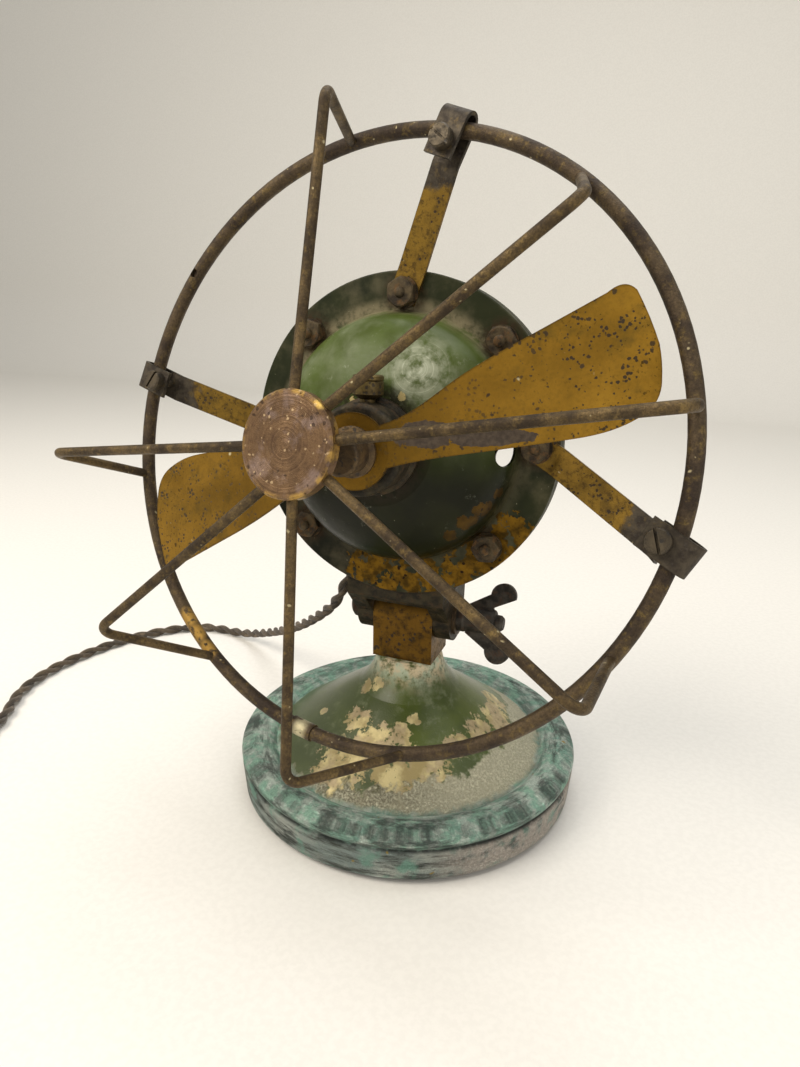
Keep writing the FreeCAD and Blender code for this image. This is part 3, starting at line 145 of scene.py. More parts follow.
class Finish:
    """A material under work: its nodes, and the places on it in millimetres."""

    def __init__(self, name):
        self.material = bpy.data.materials.new(name)
        self.material.use_nodes = True
        self.tree = self.material.node_tree
        self.shader = self.tree.nodes["Principled BSDF"]
        at = self.add("TexCoord").outputs["Object"]
        self.place = self.add("VectorMath", at, 1 / MM, operation="SCALE")

    def give(self, socket, value):
        """Puts a number, a colour or what another node gives into a socket; None leaves it alone."""
        if isinstance(value, bpy.types.Node):
            value = next(out for out in value.outputs if out.enabled)
        if isinstance(value, bpy.types.NodeSocket):
            self.tree.links.new(value, socket)
        elif value is not None:
            socket.default_value = colour(value) if isinstance(value, str) else value

    def add(self, kind, *values, **settings):
        """Adds a node with its settings, and gives its open inputs their values or links in order."""
        node = self.tree.nodes.new("ShaderNode" + kind)
        for name, value in settings.items():
            setattr(node, name, value)
        for socket, value in zip([s for s in node.inputs if s.enabled], values):
            self.give(socket, value)
        return node

    def patches(self, size, detail=4, rough=0.6, low=0.35, high=0.65, place=None):
        """Cloudy patches about size millimetres across; the nearer low and high, the sharper their edges."""
        cloud = self.add("TexNoise", place or self.place, 1 / size, detail, rough)
        return self.add("MapRange", cloud, low, high, **SOFT)

    def all_of(self, *masks):
        """Where all the masks meet. A plain number thins the result to that share."""
        meet = masks[0]
        for mask in masks[1:]:
            meet = self.add("Math", meet, mask, operation="MULTIPLY")
        return meet

    def built_up(self, start, *layers):
        """A number raised from start by each pattern times its weight."""
        for pattern, weight in layers:
            start = self.add("Math", pattern, weight, start, operation="MULTIPLY_ADD")
        return start

    def around(self, spots, place):
        """1 at the middle of each spot, a half at its reach, 0 at half as much again: (x, y, z, reach)."""
        nearest = 0.0
        for *middle, reach in spots:
            apart = self.add("VectorMath", place, middle, operation="DISTANCE").outputs["Value"]
            close = self.add("MapRange", apart, reach * 1.5, reach * 0.5, **SOFT)
            nearest = self.add("Math", nearest, close, operation="MAXIMUM")
        return nearest

    def specks(self, size, share):
        """Separate small spots in cells of size millimetres; the largest fill share of their cell."""
        cloud = self.add("TexNoise", self.place, 1.4 / size, 2).outputs["Color"]
        moved = self.add("VectorMath", cloud, 0.6 * size, operation="SCALE")
        where = self.add("VectorMath", self.place, moved, operation="ADD")
        apart = self.add("TexVoronoi", where, 1 / size)
        crowd = self.add("TexNoise", self.place, 0.25 / size)
        limit = self.add("MapRange", crowd, 0.35, 0.65, 0.1 * share, share, **SOFT)
        inside = self.add("Math", limit, apart, operation="SUBTRACT")
        return self.add("MapRange", inside, -0.03, 0.06, **SOFT)

    def worn_edge(self, size):
        """1 along sharp edges, within about size millimetres."""
        softened = self.add("Bevel", size * MM, samples=6)
        flat = self.add("NewGeometry").outputs["Normal"]
        bent = self.add("VectorMath", softened, flat, operation="DOT_PRODUCT").outputs["Value"]
        return self.add("MapRange", bent, 0.99, 0.86, **SOFT)

    def from_axis(self, a, b):
        """Distance from an axis, from the two coordinates across it."""
        return self.add("VectorMath", self.add("CombineXYZ", a, b), operation="LENGTH").outputs["Value"]

    def done(self, base, rough, metal=0.0, bump=None, depth=0.1):
        """Gives the shader its colour, roughness and metal, and a grain of depth millimetres."""
        for name, value in (("Base Color", base), ("Roughness", rough), ("Metallic", metal)):
            self.give(self.shader.inputs[name], value)
        if bump is not None:
            grain = self.add("Bump")
            for name, value in (("Height", bump), ("Strength", 1.0), ("Distance", depth * MM)):
                self.give(grain.inputs[name], value)
            self.give(self.shader.inputs["Normal"], grain)
        return self.material


def background_paper():
    """Matt background paper, a warm off-white."""
    f = Finish("background_paper")
    return f.done(f.add("MixRGB", f.patches(3.0, detail=2), "#E6E4DF", "#EAE8E3"), 0.9)


def in_motor(f):
    """Places in the motor's own frame: x to the side, y up along the flange, z forward along the shaft."""
    turn = MOTOR_TILT - math.pi / 2
    _, y, z = Matrix.Rotation(turn, 3, "X") @ Vector(MOTOR_MIDDLE)
    return f.add("Mapping", f.place, (0, -y, -z), (turn, 0, 0))


# Painted metal -----------------------------------------------------------------------------------

# Where the motor's enamel is off, in the motor's frame: along the lower flange, and up the dome's side.
FLANGE_BARE = [(-13, -62, 0, 10), (2, -64, 0, 10), (17, -63, 0, 10), (31, -58, 0, 11), (43, -49, 0, 11),
               (53, -37, 0, 10)]
DOME_BARE = [(32, -36, 15.5, 4), (38, -30, 15.5, 4.5), (43, -24, 14, 4.5), (48, -17, 10, 3)]
BOSS_CHIPS = [(-10, 18, 28.4, 1.3), (11.5, 20.5, 28.4, 1.7), (17, 12, 28.4, 1)]
STUD_TURNS = (90, 45, 1.5, -45, -135, 135, 180)
STUD_REACH = 61.4
DOME_RIM = 55


def motor_enamel():
    """Bottle-green stoved enamel on spun brass: dusty in the crease, flaked off the lower flange and stained
    brown round the nuts, with painted shade on the lower dome and the flange's lower left, and a painted
    highlight and sheen high on the dome."""
    f = Finish("stoved_green_enamel_on_spun_brass")
    place = in_motor(f)
    x, y, z = f.add("SeparateXYZ", place).outputs
    out = f.from_axis(x, y)
    dome = f.add("MapRange", out, DOME_RIM + 1.5, DOME_RIM - 1.5, **SOFT)
    # Painted shade: a lit copy of the green high on the dome fades into a near-black copy low on it, standing
    # in for shade and the dark table's reflection there.
    high = f.add("MapRange", y, -18, 26, **SOFT)
    cloud = f.patches(26, detail=3)
    fine = f.patches(1.6, detail=5)
    lit_green = f.add("MixRGB", cloud, "#4F5D2C", "#434F20")
    shaded_green = f.add("MixRGB", cloud, "#1C1E08", "#121405")
    flange_green = f.add("MixRGB", cloud, "#292D17", "#1B2010")
    # Painted shade: the flange's green darkens towards its lower left.
    shade = f.all_of(f.add("MapRange", x, 4, -26, **SOFT), f.add("MapRange", y, -12, -44, **SOFT), 0.8)
    flange_green = f.add("MixRGB", shade, flange_green, "#0C0D04")
    paint = f.add("MixRGB", dome, flange_green, f.add("MixRGB", high, shaded_green, lit_green))

    # Polishing left a swirl of fine scratches high on the dome, and handling left rubs all over it. The swirl
    # also carries a painted highlight, a lamp's reflection, and a whitish painted sheen lies over the lit top
    # of the dome.
    from_swirl = f.add("VectorMath", place, (16, 31, 24), operation="DISTANCE").outputs["Value"]
    circles = f.patches(1.1, detail=5, rough=0.8, low=0.47, high=0.7, place=f.add("CombineXYZ", from_swirl))
    swirl_and_highlight = f.all_of(f.add("MapRange", from_swirl, 21, 2, **SOFT), f.patches(5, detail=6, low=0.3, high=0.62),
                     f.built_up(0.6, (circles, 0.6)))
    rub = f.all_of(f.patches(9, detail=6, rough=0.75, low=0.58, high=0.75),
                   f.patches(1.2, low=0.45, high=0.6), dome, 0.35)
    painted_sheen = f.all_of(f.patches(17, detail=4, low=0.45, high=0.75), high, dome, 0.15)
    paint = f.add("MixRGB", f.built_up(painted_sheen, (rub, 1), (swirl_and_highlight, 1.1)), paint, "#BEC2AC")

    crease = f.all_of(f.add("MapRange", out, DOME_RIM - 3.2, DOME_RIM + 0.2, **SOFT),
                      f.add("MapRange", out, DOME_RIM + 6.5, DOME_RIM + 1, **SOFT),
                      f.patches(5, low=0.25, high=0.6), f.add("MapRange", y, -30, 45, 0.15, 0.9, **SOFT))
    film = f.all_of(f.add("MapRange", out, DOME_RIM, DOME_RIM + 3, **SOFT),
                    f.patches(14, detail=5, low=0.4, high=0.75), 0.3)
    dust = f.add("Math", crease, film)
    paint = f.add("MixRGB", dust, paint, "#857C62")

    nearest = 99.0
    for turn in STUD_TURNS:
        nut = (STUD_REACH * math.cos(math.radians(turn)), STUD_REACH * math.sin(math.radians(turn)), 0)
        apart = f.add("VectorMath", place, nut, operation="DISTANCE").outputs["Value"]
        nearest = f.add("Math", nearest, apart, operation="MINIMUM")
    grime = f.all_of(f.add("MapRange", nearest, 11.5, 6.2, **SOFT),
                     f.patches(3, detail=5, low=0.3, high=0.6), 0.85)
    paint = f.add("MixRGB", grime, paint, "#3A2B1C")
    foot = f.all_of(f.add("MapRange", out, 27, 21, **SOFT), f.patches(2.2, detail=5, low=0.3, high=0.55), 0.8)
    paint = f.add("MixRGB", foot, paint, "#2A2318")
    chips = f.add("Math", f.patches(0.9, detail=7, rough=0.7, low=0.3, high=0.7),
                  f.around(BOSS_CHIPS, place))
    paint = f.add("MixRGB", f.add("MapRange", chips, 1.06, 1.12, **SOFT), paint, "#C4B27C")
    paint = f.add("MixRGB", f.all_of(f.specks(4, 0.06), 0.8), paint, "#C7C3A6")

    ragged = f.patches(4.5, detail=7, rough=0.65, low=0.3, high=0.7)
    bare = f.add("Math", ragged, f.around(FLANGE_BARE + DOME_BARE, place))
    bare = f.add("MapRange", bare, 1.03, 1.06, **SOFT)
    kept = f.patches(8, detail=5, low=0.57, high=0.59)
    bare = f.add("Math", bare, f.all_of(bare, kept), operation="SUBTRACT")
    brass = f.add("MixRGB", f.patches(5, detail=5), "#85631E", "#4A3814")
    brass = f.add("MixRGB", f.all_of(dome, 0.8), brass, "#3A2B15")
    brass = f.add("MixRGB", f.specks(3.2, 0.3), brass, "#2A2115")
    base = f.add("MixRGB", bare, paint, brass)
    rough = f.built_up(0.46, (dome, -0.17), (dust, 0.35), (grime, 0.3), (fine, 0.08), (bare, 0.1),
                       (swirl_and_highlight, 0.15))
    wave = f.patches(18, detail=2, low=0.2, high=0.8)
    height = f.built_up(0.0, (bare, -0.35), (fine, 0.08), (wave, 0.9), (f.all_of(grime, fine), 0.3))
    f.shader.inputs["Specular IOR Level"].default_value = 0.15
    return f.done(base, rough, f.all_of(bare, 0.8), height, 0.16)


# Where the base's enamel is off, down its front and round its right side, and the small chips by the neck.
BASE_BARE = [(-14, -54, 31, 15), (-2, -44, 40, 11), (9, -37, 45, 6), (-14, -34, 46, 7), (14, -50, 33, 14),
             (27, -45, 34, 11), (35, -28, 40, 7), (41, -12, 39, 8.5), (45, 6, 37, 10), (41, 21, 38, 8),
             (-9.5, -19, 58, 4), (-16, -18, 54.5, 4), (-37, -25, 39.5, 2.5), (14, -29, 50, 3.5)]


def base_enamel():
    """Enamel over spun brass: glossy green left on the cone, bare brass and beige undercoat where it
    flaked, grit caked on the lower cone, verdigris streaked round the bead and the skirt, and painted shade
    on the skirt's left."""
    f = Finish("flaking_enamel_and_verdigris_on_spun_brass")
    x, y, z = f.add("SeparateXYZ", f.place).outputs
    out = f.from_axis(x, y)
    turn = f.add("Math", y, x, operation="ARCTAN2")
    round_it = f.add("CombineXYZ", f.all_of(f.add("Math", turn, operation="COSINE"), 30),
                     f.all_of(f.add("Math", turn, operation="SINE"), 30),
                     f.built_up(0.0, (z, 2.2), (out, 1.3)))
    streaks = f.patches(7, detail=8, rough=0.72, low=0.4, high=0.62, place=round_it)
    cloud = f.patches(24)
    grit = f.patches(1.1, detail=5, rough=0.8, low=0.38, high=0.62)
    fine = f.patches(0.6, detail=3)

    green = f.add("MixRGB", cloud, "#475314", "#374310")
    smudge = f.all_of(f.patches(7, detail=6, rough=0.7, low=0.5, high=0.72), 0.6)
    left = f.add("MapRange", x, 2, -34, 0.0, 0.55, **SOFT)
    green = f.add("MixRGB", f.add("Math", smudge, left, operation="MAXIMUM"), green, "#4B5338")
    green = f.add("MixRGB", f.all_of(smudge, 0.5), green, "#8C9470")

    ragged = f.add("TexNoise", f.place, 1 / 9, 8, 0.6)
    torn = f.patches(4, detail=8, rough=0.72, low=0.32, high=0.68)
    level = f.add("Math", torn, f.around(BASE_BARE, f.place))
    bare = f.add("MapRange", level, 1.12, 1.14, **SOFT)
    rim_of_chip = f.all_of(f.add("MapRange", level, 0.98, 1.12, **SOFT), 0.3)
    green = f.add("MixRGB", rim_of_chip, green, "#7C8A5E")
    brass = f.add("MixRGB", f.patches(10, detail=6, low=0.4, high=0.6), "#C4B684", "#96875A")
    beige = f.add("MixRGB", f.patches(4, detail=5), "#8F7F5E", "#AA9A78")
    under = f.add("MixRGB", f.patches(13, detail=6, low=0.45, high=0.58), brass, beige)
    cone = f.add("MixRGB", bare, green, under)

    reach = f.built_up(out, (x, 0.17), (ragged, 26))
    dirt = f.add("MapRange", reach, 73, 76, **SOFT)
    crumbs = f.add("MixRGB", grit, "#716C58", "#C6C2A8")
    crumbs = f.add("MixRGB", f.all_of(f.patches(11, detail=5, low=0.45, high=0.7), 0.8), crumbs, "#A09A80")
    crumbs = f.add("MixRGB", f.patches(9, detail=5, low=0.58, high=0.75), crumbs, "#5C5C36")
    pale_side = f.all_of(f.add("MapRange", x, 8, 44, **SOFT), 0.45)
    crumbs = f.add("MixRGB", pale_side, crumbs, "#CBC8AE")
    cone = f.add("MixRGB", dirt, cone, crumbs)
    neck = f.all_of(f.add("MapRange", z, 55, 69, **SOFT),
                    f.patches(5, detail=7, rough=0.7, low=0.36, high=0.56))
    residue = f.add("MixRGB", f.patches(6, low=0.4, high=0.6), "#BAC4AC", "#D8C5A4")
    cone = f.add("MixRGB", f.all_of(neck, 0.85), cone, residue)

    mint = f.add("MixRGB", cloud, "#A9D6BE", "#8AB8A6")
    mint = f.add("MixRGB", f.patches(6, detail=6, low=0.4, high=0.62), mint, "#D3E2D6")
    dark = f.add("MixRGB", cloud, "#29322F", "#434941")
    crest = f.add("MapRange", f.built_up(out, (torn, 5)), 74, 81, 0.62, 1.0, **SOFT)
    verdigris = f.add("MixRGB", f.all_of(streaks, crest, 0.92), mint, dark)
    verdigris = f.add("MixRGB", f.all_of(grit, 0.3), verdigris, "#5C6E68")
    skirt = f.add("MixRGB", streaks, f.add("MixRGB", cloud, "#BCC2B8", "#8D9C97"), dark)
    skirt = f.add("MixRGB", f.all_of(f.patches(16, detail=5, low=0.5, high=0.64), 0.7), skirt, "#7DB09C")
    # Painted shade: the skirt darkens towards its left.
    shaded = f.add("MapRange", f.built_up(0.0, (x, 0.9), (y, -0.25)), -30, -66, 0.0, 0.75, **SOFT)
    skirt = f.add("MixRGB", shaded, skirt, "#262B27")
    chalk_side = f.add("MapRange", f.built_up(0.0, (x, 0.95), (y, -0.3)), 56, 76, **SOFT)
    chalk = f.all_of(chalk_side, f.patches(11, detail=7, rough=0.65, low=0.36, high=0.52), 0.92)
    skirt = f.add("MixRGB", chalk, skirt, f.add("MixRGB", grit, "#D6CDC2", "#AFA498"))
    rim = f.add("MixRGB", f.add("MapRange", z, 18.6, 17.2, **SOFT), verdigris, skirt)
    groove = f.all_of(f.add("MapRange", z, 16.6, 17.9, **SOFT), f.add("MapRange", z, 20.2, 18.8, **SOFT),
                      f.patches(12, low=0.3, high=0.5), 0.9)
    rim = f.add("MixRGB", groove, rim, "#1D2523")
    gold = f.all_of(f.specks(9, 0.12), f.patches(30, low=0.5, high=0.6))
    rim = f.add("MixRGB", gold, rim, "#A58F45")

    on_rim = f.add("MapRange", f.built_up(out, (ragged, 10)), 71, 74.5, **SOFT)
    base = f.add("MixRGB", on_rim, cone, rim)
    crusted = f.add("Math", on_rim, dirt, operation="MAXIMUM")
    metal = f.all_of(bare, f.built_up(1.0, (crusted, -1)), 0.3)
    rough = f.built_up(0.3, (f.add("Math", crusted, f.all_of(neck, 0.7), operation="MAXIMUM"), 0.52),
                       (bare, 0.14), (smudge, 0.2))
    height = f.built_up(0.0, (bare, -0.5), (f.all_of(grit, dirt), 1.1), (f.all_of(grit, on_rim), 0.8),
                        (fine, 0.1), (f.all_of(streaks, on_rim), 0.7))
    return f.done(base, rough, metal, height, 0.3)


# Brass, iron and copper --------------------------------------------------------------------------

BLADE_TURN = math.radians(6.9)
# The bare brown patch along the right blade: middle along the blade, middle across it, half sizes.
BLADE_PATCHES = [(29, 4.8, 12, 5.2), (52, 2.2, 17, 2.9)]


def blade_brass():
    """Rolled brass sheet under old lacquer: golden ochre, peppered with dark specks and a few cream
    spatters, scratched at the tips, with one bare brown patch."""
    f = Finish("lacquered_rolled_brass")
    x, y, z = f.add("SeparateXYZ", in_motor(f)).outputs
    along = f.built_up(0.0, (x, math.cos(BLADE_TURN)), (y, math.sin(BLADE_TURN)))
    across = f.built_up(0.0, (y, math.cos(BLADE_TURN)), (x, -math.sin(BLADE_TURN)))
    far = f.add("MapRange", f.add("Math", along, operation="ABSOLUTE"), 30, 112, **SOFT)
    base = f.add("MixRGB", f.patches(30, detail=5), "#A27B28", "#86651E")
    base = f.add("MixRGB", f.all_of(f.patches(12, detail=6, low=0.5, high=0.7), 0.5), base, "#5F5124")
    base = f.add("MixRGB", f.all_of(f.built_up(1.0, (far, -1)), 0.5), base, "#674B14")
    grain = f.patches(1.5, detail=6, rough=0.8, low=0.42, high=0.7)
    base = f.add("MixRGB", f.all_of(grain, 0.28), base, "#56421B")
    dots = f.add("Math", f.specks(4.0, 0.22), f.all_of(f.specks(1.9, 0.38), f.built_up(0.45, (far, 0.9))),
                 operation="MAXIMUM")
    stroke = f.add("Mapping", f.place, None, (0.3, 0.9, 0.5), (1, 0.06, 1))
    marks = f.all_of(f.patches(1.3, detail=3, low=0.6, high=0.65, place=stroke),
                     f.patches(10, low=0.42, high=0.58), far)
    ragged = f.add("TexNoise", f.place, 1 / 5, 7, 0.6)
    patch = 0.0
    for middle, beside, half_long, half_wide in BLADE_PATCHES:
        oval = f.from_axis(f.all_of(f.built_up(-middle, (along, 1)), 1 / half_long),
                           f.all_of(f.built_up(-beside, (across, 1)), 1 / half_wide))
        patch = f.add("Math", patch, f.add("MapRange", oval, 1.35, 0.65, **SOFT), operation="MAXIMUM")
    patch = f.add("MapRange", f.built_up(ragged, (patch, 0.4)), 0.695, 0.71, **SOFT)
    dirty = f.built_up(0.0, (dots, 0.85), (marks, 0.8), (f.worn_edge(1.4), 0.55))
    base = f.add("MixRGB", f.add("Math", dirty, 0.92, operation="MINIMUM"), base, "#2C2112")
    base = f.add("MixRGB", patch, base, f.add("MixRGB", f.patches(2, detail=5), "#4F4234", "#3B3026"))
    base = f.add("MixRGB", f.all_of(f.specks(11, 0.085), 0.9), base, "#EADFB4")
    metal = f.built_up(0.85, (patch, -0.7), (dots, -0.5))
    rough = f.built_up(0.38, (f.patches(8, detail=5), 0.1), (dots, 0.25), (patch, 0.3))
    height = f.built_up(0.0, (patch, 0.3), (dots, -0.4), (f.patches(0.8), 0.12),
                        (f.patches(34, detail=1), 2.5))
    return f.done(base, rough, metal, height)


def strap_brass():
    """Brass strip, golden where the lacquer held, pitted and scratched, gone dark grey-brown at the
    loops round the guard's wire."""
    f = Finish("pitted_brass_strip")
    x, y, z = f.add("SeparateXYZ", in_motor(f)).outputs
    base = f.add("MixRGB", f.patches(8, detail=6, low=0.4, high=0.7), "#876A2A", "#665023")
    stain = f.patches(2.6, detail=7, rough=0.75, low=0.48, high=0.62)
    base = f.add("MixRGB", f.all_of(stain, 0.75), base, "#4A3A1F")
    pits = f.specks(2.0, 0.36)
    base = f.add("MixRGB", f.all_of(pits, 0.85), base, "#271D12")
    ends = f.built_up(f.from_axis(x, y), (f.patches(6, detail=6, low=0.3, high=0.7), 5))
    skin = f.add("MapRange", ends, 103.5, 107, **SOFT)
    tarnish = f.add("MixRGB", f.patches(4, detail=6), "#4E463A", "#332C25")
    tarnish = f.add("MixRGB", f.all_of(f.patches(3, detail=5, low=0.55, high=0.7), 0.5), tarnish, "#6B5A36")
    base = f.add("MixRGB", skin, base, tarnish)
    base = f.add("MixRGB", f.all_of(f.worn_edge(0.7), 0.6), base, "#2A2A1E")
    base = f.add("MixRGB", f.all_of(f.specks(9, 0.1), 0.9), base, "#E6D9AC")
    fine = f.patches(0.7)
    rough = f.built_up(0.42, (pits, 0.2), (fine, 0.1), (skin, 0.12))
    return f.done(base, rough, f.built_up(0.85, (pits, -0.4), (skin, -0.2)),
                  f.built_up(0.0, (pits, -0.6), (fine, 0.3)), 0.09)


def aged_brass(name, bright, dull, dark, spots, bare=0.5, rough=0.42, metal=0.9):
    """Brass long handled and long neglected: bright where rubbed, brown in the hollows, pitted dark."""
    f = Finish(name)
    cloud = f.patches(7, detail=6, rough=0.65, low=0.5 - bare * 0.3, high=0.75 - bare * 0.1)
    base = f.add("MixRGB", cloud, bright, dull)
    pits = f.specks(spots, 0.34)
    grime = f.patches(3.2, detail=7, rough=0.75, low=0.48, high=0.66)
    base = f.add("MixRGB", f.all_of(grime, 0.7), base, dark)
    base = f.add("MixRGB", f.all_of(pits, 0.85), base, dark)
    rubbed = f.all_of(f.worn_edge(0.7), f.patches(5, low=0.4, high=0.55))
    base = f.add("MixRGB", f.all_of(rubbed, 0.6), base, bright)
    fine = f.patches(0.7)
    shine = f.built_up(metal, (pits, -0.4), (grime, -0.2))
    dull_by = f.built_up(rough, (grime, 0.22), (fine, 0.1), (rubbed, -0.1))
    return f.done(base, dull_by, shine, f.built_up(0.0, (pits, -0.6), (grime, 0.3), (fine, 0.3)), 0.09)


def brown_iron(name, light, dark, rust, rough=0.55, metal=0.6, grain=1.2):
    """Iron and steel gone brown: a hard dark skin with rust in the hollows."""
    f = Finish(name)
    base = f.add("MixRGB", f.patches(5, detail=6), light, dark)
    rusty = f.patches(3.5, detail=7, rough=0.7, low=0.48, high=0.64)
    base = f.add("MixRGB", f.all_of(rusty, 0.65), base, rust)
    edge = f.all_of(f.worn_edge(0.6), f.patches(4, low=0.35, high=0.5))
    base = f.add("MixRGB", f.all_of(edge, 0.5), base, light)
    fine = f.patches(grain, detail=5, rough=0.7)
    dull_by = f.built_up(rough, (rusty, 0.25), (fine, 0.08), (edge, -0.12))
    return f.done(base, dull_by, f.built_up(metal, (rusty, -0.35)),
                  f.built_up(0.0, (fine, 0.7), (rusty, 0.5)))


def drawn_wire(name, light, dark, brassy, share, ferrule=None, streak=()):
    """Drawn brass wire under a brown-black skin, rubbed back to brass in fine streaks, with pale flecks
    and, on the ring, a ferrule scraped bright and a streak worn golden."""
    f = Finish(name)
    cloud = f.patches(14, detail=6, rough=0.62, low=0.36, high=0.64)
    base = f.add("MixRGB", cloud, light, dark)
    rubbed = f.patches(3.2, detail=7, rough=0.7, low=0.5, high=0.68)
    base = f.add("MixRGB", f.all_of(rubbed, share), base, brassy)
    grain = f.patches(1.0, detail=5, rough=0.8, low=0.42, high=0.6)
    base = f.add("MixRGB", f.all_of(grain, 0.5), base, "#2A231B")
    base = f.add("MixRGB", f.all_of(f.specks(5, 0.12), 0.8), base, "#BDB08A")
    fine = f.patches(0.6)
    rough = f.built_up(0.42, (cloud, 0.14), (fine, 0.08))
    if streak:
        golden = f.all_of(f.around(streak, f.place), f.patches(2.6, detail=6, low=0.36, high=0.5), 0.85)
        base = f.add("MixRGB", golden, base, "#B08B42")
    if ferrule:
        bright = f.all_of(f.around([tuple(ferrule) + (4.0,)], f.place), f.patches(2.2, low=0.3, high=0.44))
        base = f.add("MixRGB", bright, base, "#E6DDB4")
        rough = f.built_up(rough, (bright, -0.12))
    return f.done(base, rough, 0.72, f.built_up(0.0, (fine, 1), (cloud, 0.4), (rubbed, -0.3)), 0.08)


def disc_brass():
    """The turned middle disc: fine circles from the lathe under a brown skin, rubbed bright at the rim."""
    f = Finish("lathe_turned_brass")
    from_middle = f.add("VectorMath", f.place, tuple(DISC_MIDDLE), operation="SUBTRACT")
    level = f.add("VectorMath", from_middle, tuple(DISC_AHEAD), operation="DOT_PRODUCT").outputs["Value"]
    ahead = f.add("VectorMath", tuple(DISC_AHEAD), level, operation="SCALE")
    flat = f.add("VectorMath", from_middle, ahead, operation="SUBTRACT")
    out = f.add("VectorMath", flat, operation="LENGTH").outputs["Value"]
    rings = f.patches(0.9, rough=0.7, place=f.add("CombineXYZ", out))
    cloud = f.patches(8, detail=6, rough=0.65)
    base = f.add("MixRGB", cloud, "#72583E", "#4E3A29")
    base = f.add("MixRGB", f.all_of(rings, 0.45), base, "#84694B")
    stain = f.patches(2.4, detail=6, rough=0.75, low=0.5, high=0.64)
    base = f.add("MixRGB", f.all_of(stain, 0.55), base, "#4E3829")
    base = f.add("MixRGB", f.all_of(f.patches(10, detail=5, low=0.5, high=0.68), 0.5), base, "#93807A")
    rim = f.all_of(f.add("MapRange", out, 17.2, 19, **SOFT), f.patches(7, detail=5, low=0.42, high=0.58))
    base = f.add("MixRGB", f.all_of(rim, 0.8), base, "#B7934A")
    base = f.add("MixRGB", f.around([tuple(DISC_CHIP) + (2.4,)], f.place), base, "#D9B560")
    base = f.add("MixRGB", f.all_of(f.specks(2.6, 0.22), 0.6), base, "#C6AC86")
    base = f.add("MixRGB", f.all_of(f.specks(3.2, 0.25), 0.7), base, "#2B1F17")
    rough = f.built_up(0.42, (cloud, 0.14), (rim, -0.08))
    return f.done(base, rough, 0.75, f.built_up(0.0, (rings, 0.9), (f.patches(0.5, detail=3), 0.4)), 0.07)


def laminations():
    """Stacked iron stampings 0.5 mm thick, drawn 1 mm apart so that they show, oiled and rusting."""
    f = Finish("stamped_iron_laminations")
    z = f.add("SeparateXYZ", in_motor(f)).outputs["Z"]
    # Blender's bands repeat every 2 pi / 20 at a scale of 1.
    layer = f.add("TexWave", f.add("CombineXYZ", z), math.tau / 20)
    base = f.add("MixRGB", f.patches(6), "#3A3633", "#26211E")
    base = f.add("MixRGB", f.all_of(f.patches(4, detail=6, low=0.5, high=0.65), 0.5), base, "#5A3A22")
    return f.done(base, 0.5, 0.7, layer.outputs["Fac"], 0.12)


def wound_copper():
    """Enamelled copper wire 0.6 mm thick, laid side by side and dipped in shellac."""
    f = Finish("shellacked_copper_winding")
    wires = f.add("TexWave", f.place, math.tau / 20 / 0.6, 0.6, bands_direction="DIAGONAL")
    return f.done(f.add("MixRGB", f.patches(5), "#7A3F1C", "#4A2410"), 0.35, 0.4, wires.outputs["Fac"], 0.25)


# Cloth and mouldings -----------------------------------------------------------------------------

def cotton_cord():
    """Cotton-braided flex: two crossing sets of threads, tan-brown with dust, dark in the lay."""
    f = Finish("braided_cotton")
    around, along, _ = f.add("SeparateXYZ", f.add("TexCoord").outputs["UV"]).outputs
    threads = [f.add("Math", f.all_of(f.built_up(along, (around, way)), math.tau), operation="SINE")
               for way in (1, -1)]
    weave = f.add("MapRange", f.all_of(*threads), -0.7, 0.7, **SOFT)
    base = f.add("MixRGB", f.patches(12, detail=5), "#70604A", "#463C2F")
    base = f.add("MixRGB", weave, "#2C241B", base)
    base = f.add("MixRGB", f.all_of(f.patches(5, detail=6, low=0.55, high=0.7), 0.45), base, "#93826A")
    f.shader.inputs["Sheen Weight"].default_value = 0.2
    return f.done(base, 0.85, 0.0, weave, 0.12)


def plain_finish(name, light, dark, size, rough, metal=0.0):
    """A quiet surface: two near tones in cloudy patches and a fine grain."""
    f = Finish(name)
    cloud = f.patches(size, detail=5)
    return f.done(f.add("MixRGB", cloud, light, dark), f.built_up(rough, (cloud, 0.1)), metal,
                  f.patches(size / 9, detail=3), 0.08)


# Cord --------------------------------------------------------------------------------------------

# The flex in millimetres: from the sleeve behind the motor to the table and away to the left.
FLEX_ROUTE = [
    (-31.4, 4.5, 113.2), (-37.8, 3.6, 99.6), (-44.5, 7, 86.5), (-59, 17.5, 72), (-88, 41, 48.5),
    (-127, 76.5, 22), (-166, 100, 3.1), (-198, 101, 3.1), (-220, 86, 3.1), (-238, 62, 3.1),
    (-249, 32, 3.1), (-254, 2, 3.1), (-249, -27, 3.1), (-234, -50, 3.1), (-226.4, -70.2, 3.1),
]
STRAND = 1.55
COIL_MIDDLE = (-270.7, -91.3)
COIL_START = (25.5, 49.0, 3.1)
COIL_TURNS = 6.446
# The coil steps over to its next turn at: turns so far, then the new reach and height.
COIL_STEPS = [(0.07, 42.4, 3.1), (1, 36.1, 3.1), (2, 29.9, 3.1), (3, 23.6, 3.1),
              (4, 26.7, 8.4), (5, 33.0, 8.4), (6, 39.3, 8.4)]
# The lead from the coil to the plug: how far along, and how high.
LEAD = [(8, 9.3), (16, 10.2), (24, 12.3), (30, 13.55)]


